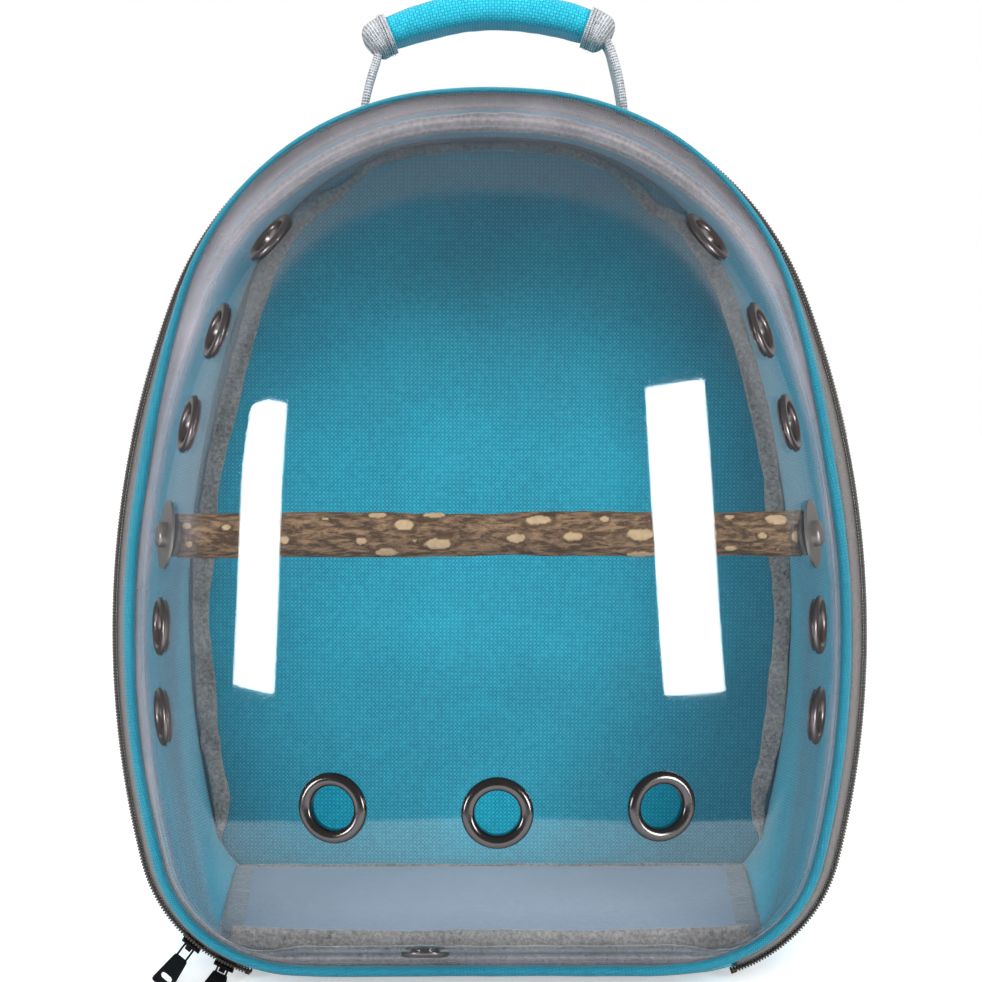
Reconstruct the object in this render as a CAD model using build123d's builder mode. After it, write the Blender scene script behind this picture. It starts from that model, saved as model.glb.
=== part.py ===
"""Bird travel carrier: a fabric half shell and a clear domed front cover, zipped on and hinged at the bottom.

Millimetres. +X is the carrier's right as seen from the front, +Y points to its back and +Z up.
The origin is the middle of the flat base, where the fabric shell stands on the table.
"""
import math
import os

from build123d import *

# ---- arch outline, from the middle of the base round to the crown: radius and turn of each tangent arc
ARC_TURNS = (76.8, 34.5, 63.5, 5.2)  # degrees, 180 in all: corner, side, shoulder, crown
FRONT_RADII = (74.0, 445.0, 145.0, 250.0)  # at the zip line
BACK_RADII = (46.0, 505.0, 126.0, 310.0)  # at the back panel

# ---- rear body
BODY_DEPTH = 130.0  # zip line to back panel
FABRIC = 3.0  # lined fabric wall
COIL = 2.0  # zip coil, across and thick
ZIP_STOP = (2.4, 0.8)  # width, thickness
TAPE = 1.0  # zip tape
TAPE_SEAT = 0.05  # glue line between tape and shell
REAR_TAPE_WIDTH = 12.0
ZIP_GAP = 0.2  # each coil half to the zip line
ZIP_END_X = 112.0  # where the zip stops and the fabric hinge begins
RIM_BINDING = (2.0, 8.0)  # thickness, width along Y
BACK_BINDING = (12.0, 4.0)  # width in the panel's plane, thickness
BASE_MARGIN = 6.0  # base panel to the corners and the bindings
BOARD = 2.5  # stiffener boards
BOARD_MARGIN = 2.0
BOARD_CORNER = 8.0
BACK_SKIN = 2.0
BACK_COVER = 5.0
BACK_BOARD_MARGIN = 6.0

# ---- front cover
BAND_DEPTH = 13.8  # flared band from the zip line to the piping
BAND_FLARE = 7.0  # how much the band narrows towards the front
PIPING = (6.4, 5.0)  # width, depth
PIPING_ROUND = 2.2
DOME_DEPTH = 122.0  # flange to the foremost point
DOME_WALL = 1.5
DOME_DRAFT = 21.0
DOME_FACE_RADIUS = 240.0  # the front face is part of an upright cylinder
DOME_CORNER_CLEAR = 0.4  # kept of the bottom corner where the edge rounding meets it
FLANGE = (6.6, 1.4)  # width, thickness
CUT_DEPTH = 12.0  # cutters for the holes in the dome
AMPLE = 600.0  # cutters that reach past the whole carrier
COVER_BINDING = (13.0, 4.6)  # width, depth
HINGE_FABRIC = 1.5
BINDING_OVERLAP = 3.4  # how far the cover binding runs back under the piping

# ---- eyelets: outer diameter, hole, flange thickness
FRONT_EYELET = (28.0, 17.6, 1.6)
SIDE_EYELET = (25.0, 15.6, 1.6)
DRAIN_EYELET = (20.0, 10.0, 1.4)
EYELET_WALL = 1.0  # barrel wall
EYELET_WASHER = 0.9
EYELET_ROUND = 0.7
EYELET_FIT = 0.1  # barrel to the hole in the dome
FRONT_EYELET_HEIGHT = 114.0
FRONT_EYELET_PITCH = 64.0
FRONT_EYELET_SHIFT = 2.8  # the row sits a little off the middle
SIDE_EYELET_SETBACK = 48.0  # in front of the flange
SIDE_EYELET_PITCH = 39.0
DRAIN_X = -27.0
DRAIN_SETBACK = 78.0

# ---- perch
PERCH_DIAMETER = 20.4
PERCH_HEIGHT = 214.0
PERCH_TO_UPPER_EYELET = 47.0
PERCH_WASHER = (29.0, 1.2)  # outside: diameter, thickness
PERCH_PAD = (18.0, 1.5)  # rubber washer inside
PERCH_END_GAP = 0.3
SCREW_DIAMETER = 6.0
SCREW_HEAD = (11.0, 3.5)
SCREW_IN_PERCH = 12.0
SEAT_SAG = 0.8  # flat rings stand this far off the curved wall inside

# ---- zip sliders and pulls
SLIDER_ANGLES = (41.0, 27.0)  # upper and lower, along the left corner arc from the base
SLIDER_SIZE = (10.0, 7.4, 1.2)  # travel, across, plate
SLIDER_OVERHANG = 2.2  # over the cover's coil
SLIDER_CLEAR = 0.5
SLIDER_FLANGE = (1.2, 1.6)  # thickness, drop beside the coil
CROWN_SETBACK = 0.5
CROWN = (3.0, 5.0, 0.8, 1.4)  # along, across, bar, hole height
PULL_LENGTH = 24.0
PULL_WIDTHS = (7.0, 11.0)
PULL_THICK = 1.4
PULL_CORNER = 1.5
PULL_WINDOW = (6.05, 3.2, 5.0)  # length, height, from the tip to its middle
BAIL_WIRE = 1.0
BAIL_WIDTH = 6.0
BAIL_LENGTH = 7.0
BAIL_SEAT = 1.4  # how far the wire's ends run into the tab
BAIL_BEND = 1.2
PULL_FLOOR_GAP = 0.3

# ---- handle
HANDLE_Y = -29.0
HANDLE_SPAN = 130.0  # over the legs, at their pivots
HANDLE_TOP_SPAN = 112.0  # over the legs, at the grip
HANDLE_RISE = 51.0  # pivot to the grip's centre line
WEBBING = (25.0, 4.0)  # two layers
GRIP = (94.0, 30.0, 14.5)
GRIP_ROUND = 6.0
HANDLE_CORNER = 9.0
ANCHOR = (16.0, 34.0, 1.6)
PIVOT_CLEAR = 0.8

# ---- floor pad
PAD_THICK = 13.0
PAD_CLEAR = 0.3
PAD_FRONT_CLEAR = 2.5  # zip line to the pad
PAD_ROLL = 13.0  # diameter of the rolled front edge

# ---- shoulder harness
STRAP = (55.0, 9.0)
STRAP_X = 62.0
STRAP_TOP = 345.0
STRAP_BOTTOM = 125.0
STRAP_BOW = 20.0
STRAP_STAND = 1.0
YOKE = (190.0, 30.0, 3.0)
LOCK = (36.0, 26.0, 5.0)  # ladder lock: width, height, thickness
LOCK_SLOT = (27.0, 4.0)
TAIL = (25.0, 1.6)  # webbing below the ladder lock
TAIL_END = (84.0, 48.0)  # x and height of its sewn end
TAIL_ANCHOR = (34.0, 30.0, 3.0)
HARNESS_CORNERS = (5.0, 3.0, 4.0)  # yoke, ladder lock, sewn tab
HARNESS_GAP = 0.3

# ---- derived places
ZIP_Y = -BODY_DEPTH / 2
BACK_Y = BODY_DEPTH / 2
COIL_INSET = 0.0
TAPE_INSET = COIL_INSET + COIL
SHELL_INSET = TAPE_INSET + TAPE  # outer face of the fabric shell, which stands at z = 0
LINING_INSET = SHELL_INSET + FABRIC
PIPING_Y = ZIP_Y - ZIP_GAP - BAND_DEPTH
PIPING_INSET = TAPE_INSET + BAND_FLARE
DOME_INSET = PIPING_INSET + PIPING[0] + 0.6
DOME_FRONT_Y = PIPING_Y - DOME_DEPTH

os.makedirs("parts", exist_ok=True)


def xz(y):
    """The upright plane at y, seen from the front."""
    return Plane.XZ.offset(-y)


def radii_at(y):
    """The four arc radii of the body's outline at y, straight between the zip line and the back."""
    share = (y - ZIP_Y) / BODY_DEPTH
    return tuple(a + (b - a) * share for a, b in zip(FRONT_RADII, BACK_RADII))


def arc_list(radii, inset):
    """Centre x and z, radius, start and end angle of each arc, the angles from straight down, in radians."""
    turns = [math.radians(t) for t in ARC_TURNS]
    start, arcs = 0.0, []
    x, z = 0.0, 0.0
    for radius, turn in zip(radii, turns):
        cx, cz = x - radius * math.sin(start), z + radius * math.cos(start)
        arcs.append([cx, cz, radius, start, start + turn])
        start += turn
        x, z = cx + radius * math.sin(start), cz - radius * math.cos(start)
    half_base = -x
    return [(cx + half_base, cz - SHELL_INSET, r - inset, a, b) for cx, cz, r, a, b in arcs]


def arch(radii, inset=0.0):
    """Draws the closed arch outline, inset all round, in the sketch that is open."""
    half_base = arc_list(radii, inset)[0][0]
    bottom = inset - SHELL_INSET
    with BuildLine() as outline:
        line = Line((0, bottom), (half_base, bottom))
        for radius, turn in zip(radii, ARC_TURNS):
            line = JernArc(start=line @ 1, tangent=line % 1, radius=radius - inset, arc_size=turn)
        Line(line @ 1, (0, bottom))
    make_face(outline.edges())
    mirror(about=Plane.YZ)


def ring(y0, inset0, y1, inset1, thick, flared=False):
    """A band between two planes, thick inwards, on the body's taper or, if flared, the zip line's outline."""
    with BuildPart() as band:
        for extra, mode in ((0.0, Mode.ADD), (thick, Mode.SUBTRACT)):
            for y, inset in ((y0, inset0), (y1, inset1)):
                with BuildSketch(xz(y)):
                    arch(FRONT_RADII if flared else radii_at(y), inset + extra)
            loft(ruled=True, mode=mode)
    return band.part


def slab(y0, y1, inset):
    """A solid plug of the body's outline between two planes."""
    with BuildPart() as plug:
        for y in (y0, y1):
            with BuildSketch(xz(y)):
                arch(radii_at(y), inset)
        loft(ruled=True)
    return plug.part


def hinge_zone(half_width):
    """The block below the corner arcs in which the fabric hinge takes the zip's place."""
    with BuildPart() as zone:
        with Locations((0, ZIP_Y, 0)):
            Box(2 * half_width, 4 * REAR_TAPE_WIDTH, FRONT_RADII[0])
    return zone.part


def edge_point(angle, y, inset, radii=FRONT_RADII):
    """The outline's point at an angle from straight down, on the right side."""
    for cx, cz, r, a, b in arc_list(radii, inset):
        if a - 1e-9 <= angle <= b + 1e-9:
            return cx + r * math.sin(angle), y, cz - r * math.cos(angle)
    raise ValueError("angle outside the outline")


def angle_at_height(z, inset, radii=FRONT_RADII):
    """The outline's angle from straight down where it passes the height z."""
    for cx, cz, r, a, b in arc_list(radii, inset):
        if cz - r * math.cos(a) <= z <= cz - r * math.cos(b):
            return math.acos((cz - z) / r)
    raise ValueError("height outside the outline")


def angle_at_x(x, inset, radii=FRONT_RADII):
    """The outline's angle from straight down where its upper half passes x."""
    for cx, cz, r, a, b in arc_list(radii, inset)[2:]:
        if cx + r * math.sin(b) <= x <= cx + r * math.sin(a):
            return math.pi - math.asin((x - cx) / r)
    raise ValueError("x outside the outline")


def wall_plane(side, angle, setback):
    """The plane that touches the dome's sloped wall from outside, its normal pointing out; side is 1 or -1."""
    draft = math.radians(DOME_DRAFT)
    x, y, z = edge_point(angle, PIPING_Y - setback, DOME_INSET + setback * math.tan(draft))
    out = Vector(
        side * math.sin(angle) * math.cos(draft),
        -math.sin(draft),
        -math.cos(angle) * math.cos(draft),
    )
    return Plane(origin=(side * x, y, z), x_dir=Vector(0, 1, 0).cross(out), z_dir=out)


def face_plane(x, z):
    """The plane that touches the dome's front face from outside at x and z."""
    out = Vector(x, -math.sqrt(DOME_FACE_RADIUS**2 - x**2), 0) / DOME_FACE_RADIUS
    centre_y = DOME_FRONT_Y + DOME_FACE_RADIUS
    return Plane(origin=Vector(0, centre_y, z) + out * DOME_FACE_RADIUS, x_dir=(0, 0, 1), z_dir=out)


def edge_round():
    """The dome's edge rounding: the largest ball that still rolls round the drafted bottom corner."""
    draft = math.radians(DOME_DRAFT)
    corner_x, _, corner_radius, _, _ = arc_list(FRONT_RADII, DOME_INSET)[0]
    ball = corner_radius / 2
    for _ in range(30):
        centre_y = DOME_FRONT_Y + DOME_FACE_RADIUS - math.sqrt((DOME_FACE_RADIUS - ball) ** 2 - corner_x**2)
        room = corner_radius - (PIPING_Y - centre_y) * math.tan(draft)
        ball = (ball + room * math.cos(draft)) / 2
    return ball - DOME_CORNER_CLEAR


def dome_form(skin):
    """The dome as a solid, its whole surface moved in by skin."""
    draft = math.radians(DOME_DRAFT)
    with BuildPart() as form:
        with BuildSketch(xz(PIPING_Y)):
            arch(FRONT_RADII, DOME_INSET + skin / math.cos(draft))
        extrude(amount=DOME_DEPTH + DOME_WALL * 3, taper=DOME_DRAFT)
        with Locations((0, DOME_FRONT_Y + DOME_FACE_RADIUS, 0)):
            Cylinder(DOME_FACE_RADIUS - skin, 2 * AMPLE, mode=Mode.INTERSECT)
        front = form.faces().sort_by(Axis.Y)[0]
        fillet(front.edges(), edge_round() - skin)
    return form.part


# ---- places on the dome
SIDE_INSET = DOME_INSET + SIDE_EYELET_SETBACK * math.tan(math.radians(DOME_DRAFT))
side_heights = [PERCH_HEIGHT - SIDE_EYELET_PITCH * n for n in (2, 1)]
side_heights += [PERCH_HEIGHT + PERCH_TO_UPPER_EYELET + SIDE_EYELET_PITCH * n for n in (0, 1, 2)]
side_angles = [angle_at_height(z, SIDE_INSET) for z in side_heights]
side_planes = [wall_plane(side, a, SIDE_EYELET_SETBACK) for side in (-1, 1) for a in side_angles]
perch_angle = angle_at_height(PERCH_HEIGHT, SIDE_INSET)
perch_planes = [wall_plane(side, perch_angle, SIDE_EYELET_SETBACK) for side in (-1, 1)]
front_places = [n * FRONT_EYELET_PITCH + FRONT_EYELET_SHIFT for n in (-1, 0, 1)]
front_planes = [face_plane(x, FRONT_EYELET_HEIGHT) for x in front_places]
drain_draft = math.radians(DOME_DRAFT)
drain_plane = Plane(
    origin=(
        DRAIN_X,
        PIPING_Y - DRAIN_SETBACK,
        DOME_INSET - SHELL_INSET + DRAIN_SETBACK * math.tan(drain_draft),
    ),
    x_dir=(1, 0, 0),
    z_dir=(0, -math.sin(drain_draft), -math.cos(drain_draft)),
)

finished = []


def keep(part, name):
    """Labels a finished piece and writes it."""
    part.label = name
    export_step(part, f"parts/{name}.step")
    finished.append(part)


# ---- rear body
def make_gusset():
    """The walls, with the flat base panel on which the carrier stands let into the bottom."""
    half = min(arc_list(r, 0)[0][0] for r in (FRONT_RADII, BACK_RADII)) - BASE_MARGIN
    depth = BODY_DEPTH - 2 * (RIM_BINDING[1] + BASE_MARGIN)
    with BuildPart() as gusset:
        add(ring(ZIP_Y + ZIP_GAP, SHELL_INSET, BACK_Y, SHELL_INSET, FABRIC))
        Box(2 * half, depth, 2 * FABRIC, mode=Mode.SUBTRACT)
        Box(2 * half, depth, FABRIC, align=(Align.CENTER, Align.CENTER, Align.MIN))
    keep(gusset.part, "fabric_shell")


def make_back():
    """The inner skin, the board in its pocket and the outer cover with its piped edge."""
    skin_end = BACK_Y + BACK_SKIN
    with BuildPart() as skin:
        with BuildSketch(xz(BACK_Y)):
            arch(BACK_RADII, SHELL_INSET)
        extrude(amount=-BACK_SKIN)
    keep(skin.part, "back_panel")
    with BuildPart() as board:
        with BuildSketch(xz(skin_end)):
            arch(BACK_RADII, SHELL_INSET + BACK_BOARD_MARGIN)
        extrude(amount=-BOARD)
    keep(board.part, "back_board")
    with BuildPart() as cover:
        with BuildSketch(xz(skin_end)):
            arch(BACK_RADII, SHELL_INSET)
        extrude(amount=-BACK_COVER)
        fillet(cover.faces().sort_by(Axis.Y)[-1].edges(), BACK_COVER * 0.4)
        add(board.part, mode=Mode.SUBTRACT)
    keep(cover.part, "back_cover")
    with BuildPart() as binding:
        add(ring(BACK_Y - BACK_BINDING[1], LINING_INSET, BACK_Y, LINING_INSET, BACK_BINDING[0]))
    keep(binding.part, "back_binding")


def make_rim():
    start = ZIP_Y + ZIP_GAP
    with BuildPart() as binding:
        add(ring(start, LINING_INSET, start + RIM_BINDING[1], LINING_INSET, RIM_BINDING[0]))
    keep(binding.part, "rim_binding")
    with BuildPart() as tape:
        add(ring(start, TAPE_INSET, start + REAR_TAPE_WIDTH, TAPE_INSET, TAPE - TAPE_SEAT))
        add(hinge_zone(ZIP_END_X), mode=Mode.SUBTRACT)
    keep(tape.part, "rear_zip_tape")
    with BuildPart() as coil:
        add(ring(start, COIL_INSET, start + COIL, COIL_INSET, COIL))
        add(hinge_zone(ZIP_END_X), mode=Mode.SUBTRACT)
    keep(coil.part, "rear_zip_coil")
    with BuildPart() as stops:
        for side in (-1, 1):
            corner = arc_list(FRONT_RADII, COIL_INSET)[0]
            angle = math.asin((ZIP_END_X + ZIP_STOP[0] - corner[0]) / corner[2])
            x, y, z = edge_point(angle, start + COIL / 2, COIL_INSET)
            out = Vector(side * math.sin(angle), 0, -math.cos(angle))
            with Locations(Plane(origin=(side * x, y, z), x_dir=(0, 1, 0), z_dir=out)):
                Box(COIL, *ZIP_STOP, align=(Align.CENTER, Align.CENTER, Align.MIN))
        add(coil.part, mode=Mode.SUBTRACT)
    keep(stops.part, "zip_end_stops")


def make_base_board():
    half = arc_list(BACK_RADII, 0)[0][0] - 2 * BOARD_MARGIN
    half = min(half, arc_list(FRONT_RADII, 0)[0][0] - BOARD_MARGIN)
    depth = BODY_DEPTH - RIM_BINDING[1] - BACK_BINDING[1] - 2 * BOARD_MARGIN
    middle = (RIM_BINDING[1] - BACK_BINDING[1]) / 2
    with BuildPart() as board:
        with Locations((0, middle, FABRIC)):
            Box(2 * half, depth, BOARD, align=(Align.CENTER, Align.CENTER, Align.MIN))
        fillet(board.edges().filter_by(Axis.Z), BOARD_CORNER)
    keep(board.part, "base_board")


# ---- front cover
def make_cover_rim():
    start = ZIP_Y - ZIP_GAP
    with BuildPart() as tape:
        add(ring(PIPING_Y, PIPING_INSET, start, TAPE_INSET, TAPE, flared=True))
        add(hinge_zone(ZIP_END_X), mode=Mode.SUBTRACT)
    keep(tape.part, "cover_zip_tape")
    with BuildPart() as coil:
        add(ring(start - COIL, COIL_INSET, start, COIL_INSET, COIL, flared=True))
        add(ring(PIPING_Y, PIPING_INSET, start, TAPE_INSET, TAPE, flared=True), mode=Mode.SUBTRACT)
        add(hinge_zone(ZIP_END_X), mode=Mode.SUBTRACT)
    keep(coil.part, "cover_zip_coil")
    with BuildPart() as hinge:
        add(ring(PIPING_Y, PIPING_INSET, start, SHELL_INSET, HINGE_FABRIC, flared=True))
        add(hinge_zone(ZIP_END_X - ZIP_GAP), mode=Mode.INTERSECT)
    keep(hinge.part, "hinge_strip")
    with BuildPart() as piping:
        with BuildSketch(xz(PIPING_Y)):
            arch(FRONT_RADII, PIPING_INSET)
        extrude(amount=PIPING[1])
        with BuildSketch(xz(PIPING_Y)):
            arch(FRONT_RADII, PIPING_INSET + PIPING[0])
        extrude(amount=PIPING[1], mode=Mode.SUBTRACT)
        fillet(piping.faces().sort_by(Axis.Y)[0].edges(), PIPING_ROUND)
    keep(piping.part, "cover_piping")
    with BuildPart() as binding:
        binding_inset = PIPING_INSET + PIPING[0] - BINDING_OVERLAP
        with BuildSketch(xz(PIPING_Y + FLANGE[1])):
            arch(FRONT_RADII, binding_inset)
        extrude(amount=-COVER_BINDING[1])
        with BuildSketch(xz(PIPING_Y + FLANGE[1])):
            arch(FRONT_RADII, binding_inset + COVER_BINDING[0])
        extrude(amount=-COVER_BINDING[1], mode=Mode.SUBTRACT)
    keep(binding.part, "cover_binding")


def make_dome():
    outer = dome_form(0.0)
    inner = dome_form(DOME_WALL)
    with BuildPart() as dome:
        add(outer)
        with BuildSketch(xz(PIPING_Y)):
            arch(FRONT_RADII, DOME_INSET + DOME_WALL - FLANGE[0])
        extrude(amount=-FLANGE[1])
        with BuildSketch(xz(PIPING_Y)):
            arch(FRONT_RADII, DOME_INSET + DOME_WALL / math.cos(math.radians(DOME_DRAFT)))
        extrude(amount=-FLANGE[1], mode=Mode.SUBTRACT)
        add(inner, mode=Mode.SUBTRACT)
        holes = [(p, FRONT_EYELET[1]) for p in front_planes]
        holes += [(p, SIDE_EYELET[1]) for p in side_planes]
        holes.append((drain_plane, DRAIN_EYELET[1]))
        for plane, bore in holes:
            with Locations(plane):
                Cylinder(bore / 2 + EYELET_WALL + EYELET_FIT, CUT_DEPTH, mode=Mode.SUBTRACT)
        for plane in perch_planes:
            with Locations(plane):
                Cylinder(SCREW_DIAMETER / 2 + EYELET_FIT, CUT_DEPTH, mode=Mode.SUBTRACT)
    keep(dome.part, "clear_dome")


def eyelet_solid(plane, size):
    """The visible half of an eyelet: a rounded flange outside and a barrel through the wall."""
    diameter, bore, thick = size
    back = DOME_WALL + SEAT_SAG + EYELET_WASHER
    with BuildPart() as eyelet:
        with BuildSketch(plane):
            Circle(diameter / 2)
        extrude(amount=thick)
        fillet(eyelet.faces().sort_by(Axis(plane.origin, plane.z_dir))[-1].edges(), EYELET_ROUND)
        with BuildSketch(plane):
            Circle(bore / 2 + EYELET_WALL)
        extrude(amount=-back)
        with Locations(plane):
            Cylinder(bore / 2, 12, mode=Mode.SUBTRACT)
    return eyelet.part


def washer_solid(plane, size):
    """The backing washer that the barrel is rolled over, inside the dome."""
    diameter, bore, _ = size
    with BuildPart() as washer:
        with BuildSketch(plane.offset(-DOME_WALL - SEAT_SAG)):
            Circle(diameter / 2 - 1.0)
            Circle(bore / 2 + EYELET_WALL, mode=Mode.SUBTRACT)
        extrude(amount=-EYELET_WASHER)
    return washer.part


def make_eyelets():
    groups = (
        ("front", front_planes, FRONT_EYELET),
        ("left", side_planes[: len(side_heights)], SIDE_EYELET),
        ("right", side_planes[len(side_heights) :], SIDE_EYELET),
        ("drain", [drain_plane], DRAIN_EYELET),
    )
    for name, planes, size in groups:
        with BuildPart() as eyelets:
            for plane in planes:
                add(eyelet_solid(plane, size))
        keep(eyelets.part, f"{name}_eyelets")
        with BuildPart() as washers:
            for plane in planes:
                add(washer_solid(plane, size))
        keep(washers.part, f"{name}_eyelet_washers")


def make_perch():
    behind = DOME_WALL + SEAT_SAG
    perch_y = PIPING_Y - SIDE_EYELET_SETBACK
    with BuildPart() as perch:
        with BuildSketch(Plane.YZ):
            with Locations((perch_y, PERCH_HEIGHT)):
                Circle(PERCH_DIAMETER / 2)
        extrude(amount=FRONT_RADII[1], both=True)
        add(dome_form(behind + PERCH_PAD[1] + PERCH_END_GAP), mode=Mode.INTERSECT)
        for plane in perch_planes:
            with Locations(plane):
                Cylinder(
                    SCREW_DIAMETER / 2,
                    behind + PERCH_PAD[1] + PERCH_END_GAP + SCREW_IN_PERCH,
                    align=(Align.CENTER, Align.CENTER, Align.MAX),
                    mode=Mode.SUBTRACT,
                )
    keep(perch.part, "perch_stick")
    with BuildPart() as pads:
        for plane in perch_planes:
            with BuildSketch(plane.offset(-behind)):
                Circle(PERCH_PAD[0] / 2)
                Circle(SCREW_DIAMETER / 2, mode=Mode.SUBTRACT)
            extrude(amount=-PERCH_PAD[1])
    keep(pads.part, "perch_rubber_washers")
    with BuildPart() as washers:
        for plane in perch_planes:
            with BuildSketch(plane):
                Circle(PERCH_WASHER[0] / 2)
                Circle(SCREW_DIAMETER / 2, mode=Mode.SUBTRACT)
            extrude(amount=PERCH_WASHER[1])
    keep(washers.part, "perch_washers")
    with BuildPart() as screws:
        for plane in perch_planes:
            with BuildSketch(plane.offset(PERCH_WASHER[1])):
                Circle(SCREW_HEAD[0] / 2)
            extrude(amount=SCREW_HEAD[1])
            top = screws.faces().filter_by(Plane(plane.origin, z_dir=plane.z_dir)).sort_by(
                Axis(plane.origin, plane.z_dir)
            )[-1]
            fillet(top.edges(), SCREW_HEAD[1] * 0.5)
            with BuildSketch(plane.offset(PERCH_WASHER[1])):
                Circle(SCREW_DIAMETER / 2)
            depth = PERCH_WASHER[1] + behind + PERCH_PAD[1] + PERCH_END_GAP + SCREW_IN_PERCH
            extrude(amount=-depth)
    keep(screws.part, "perch_screws")


# ---- zip sliders and pulls
def slider_plane(angle_deg):
    """On the left corner: x along the zip upwards, y to the back, z outwards from the coil."""
    angle = math.radians(angle_deg)
    x, _, z = edge_point(angle, ZIP_Y, COIL_INSET)
    along = (-math.cos(angle), 0, math.sin(angle))
    out = (-math.sin(angle), 0, -math.cos(angle))
    return Plane(origin=(-x, ZIP_Y, z), x_dir=along, z_dir=out)


CROWN_Y = -SLIDER_OVERHANG + CROWN[1] / 2 + CROWN_SETBACK
BAIL_Z = SLIDER_CLEAR + SLIDER_SIZE[2] + CROWN[3] / 2


def make_slider(name, angle_deg):
    """A plate over the coil, a rear flange down beside it and an arched crown for the pull."""
    plane = slider_plane(angle_deg)
    length, across, plate = SLIDER_SIZE
    rear = across - SLIDER_OVERHANG
    lowest = (Align.CENTER, Align.MIN, Align.MIN)
    with BuildPart() as slider:
        with Locations(plane):
            with Locations((0, -SLIDER_OVERHANG, SLIDER_CLEAR)):
                Box(length, across, plate, align=lowest)
            wall, drop = SLIDER_FLANGE
            with Locations((0, rear - wall, -drop)):
                Box(length, wall, drop + SLIDER_CLEAR, align=lowest)
            along, wide, bar, hole = CROWN
            with Locations((0, CROWN_Y - wide / 2, SLIDER_CLEAR + plate)):
                Box(along, wide, hole + bar, align=lowest)
            with Locations((0, CROWN_Y - wide / 2 + bar, SLIDER_CLEAR + plate)):
                Box(along, wide - 2 * bar, hole, align=lowest, mode=Mode.SUBTRACT)
    keep(slider.part, name)


def pull_lean(angle_deg):
    """How far the resting pull leans out from straight forward, its tip just over the table, in degrees."""
    angle = math.radians(angle_deg)
    _, _, z = edge_point(angle, ZIP_Y, COIL_INSET)
    height = z - BAIL_Z * math.cos(angle) - PULL_THICK / 2 - PULL_FLOOR_GAP
    return math.degrees(math.asin(height / (PULL_LENGTH * math.cos(angle))))


def make_pull(name, angle_deg):
    """A framed tab on its wire bail; drawn flat, then leaned about the bail's bar."""
    base = slider_plane(angle_deg)
    bar = base.location * Location((0, CROWN_Y, BAIL_Z))
    lean = bar * Location((0, 0, 0), (-pull_lean(angle_deg), 0, 0))
    flat = Plane(lean)
    near, far = PULL_WIDTHS
    body_start = -BAIL_LENGTH
    with BuildPart() as pull:
        with BuildSketch(flat.offset(-PULL_THICK / 2)):
            with BuildLine():
                Polyline(
                    (-near / 2, body_start),
                    (near / 2, body_start),
                    (far / 2, -PULL_LENGTH),
                    (-far / 2, -PULL_LENGTH),
                    close=True,
                )
            make_face()
            fillet(vertices(), PULL_CORNER)
            with Locations((0, PULL_WINDOW[2] - PULL_LENGTH)):
                SlotOverall(*PULL_WINDOW[:2], mode=Mode.SUBTRACT)
        extrude(amount=PULL_THICK)
        reach = (BAIL_WIDTH - BAIL_WIRE) / 2
        with BuildLine(flat) as bail:
            FilletPolyline(
                (-reach, -BAIL_LENGTH - BAIL_SEAT),
                (-reach, 0),
                (reach, 0),
                (reach, -BAIL_LENGTH - BAIL_SEAT),
                radius=BAIL_BEND,
            )
        with BuildSketch(Plane(origin=bail.line @ 0, z_dir=bail.line % 0)):
            Circle(BAIL_WIRE / 2)
        sweep(path=bail.line)
    keep(pull.part, name)


# ---- handle
def handle_pivot_height():
    """Just above the anchor patches, so that the rounded leg ends clear them."""
    outer = HANDLE_SPAN / 2 - WEBBING[1]
    radii = radii_at(HANDLE_Y)
    angle = angle_at_x(outer, SHELL_INSET, radii)
    top = edge_point(angle, HANDLE_Y, SHELL_INSET, radii)[2]
    return top + ANCHOR[2] + PIVOT_CLEAR + WEBBING[0] / 2


def make_handle():
    pivot = handle_pivot_height()
    half, half_top = HANDLE_SPAN / 2, HANDLE_TOP_SPAN / 2
    grip_z = pivot + HANDLE_RISE - WEBBING[0] / 2
    with BuildPart() as anchors:
        inset = SHELL_INSET - ANCHOR[2]
        add(ring(HANDLE_Y - ANCHOR[1] / 2, inset, HANDLE_Y + ANCHOR[1] / 2, inset, ANCHOR[2]))
        with Locations(*[(side * (half - WEBBING[1] / 2), HANDLE_Y, pivot) for side in (-1, 1)]):
            Box(ANCHOR[0], AMPLE, 2 * WEBBING[0], mode=Mode.INTERSECT)
    keep(anchors.part, "handle_anchors")
    with BuildPart() as webbing:
        with BuildSketch(xz(HANDLE_Y + WEBBING[0] / 2)):
            with BuildLine():
                FilletPolyline(
                    (-half + WEBBING[1] / 2, pivot - WEBBING[0] / 2),
                    (-half_top + WEBBING[1] / 2, grip_z),
                    (half_top - WEBBING[1] / 2, grip_z),
                    (half - WEBBING[1] / 2, pivot - WEBBING[0] / 2),
                    radius=HANDLE_CORNER,
                )
                offset(amount=WEBBING[1] / 2, side=Side.BOTH)
            make_face()
        extrude(amount=WEBBING[0])
        # the leg ends are half discs about the pivot
        with BuildSketch(Plane.YZ) as ends:
            with Locations((HANDLE_Y, pivot)):
                Circle(WEBBING[0] / 2)
            with Locations((HANDLE_Y, pivot)):
                Rectangle(WEBBING[0], AMPLE, align=(Align.CENTER, Align.MIN))
        extrude(amount=HANDLE_SPAN, both=True, mode=Mode.INTERSECT)
    keep(webbing.part, "handle_webbing")
    with BuildPart() as grip:
        with Locations((0, HANDLE_Y, grip_z)):
            Box(*GRIP)
        fillet(grip.edges().filter_by(Axis.X), GRIP_ROUND)
        with Locations((0, HANDLE_Y, grip_z)):
            Box(GRIP[0], WEBBING[0], WEBBING[1], mode=Mode.SUBTRACT)
    keep(grip.part, "handle_grip")


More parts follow.
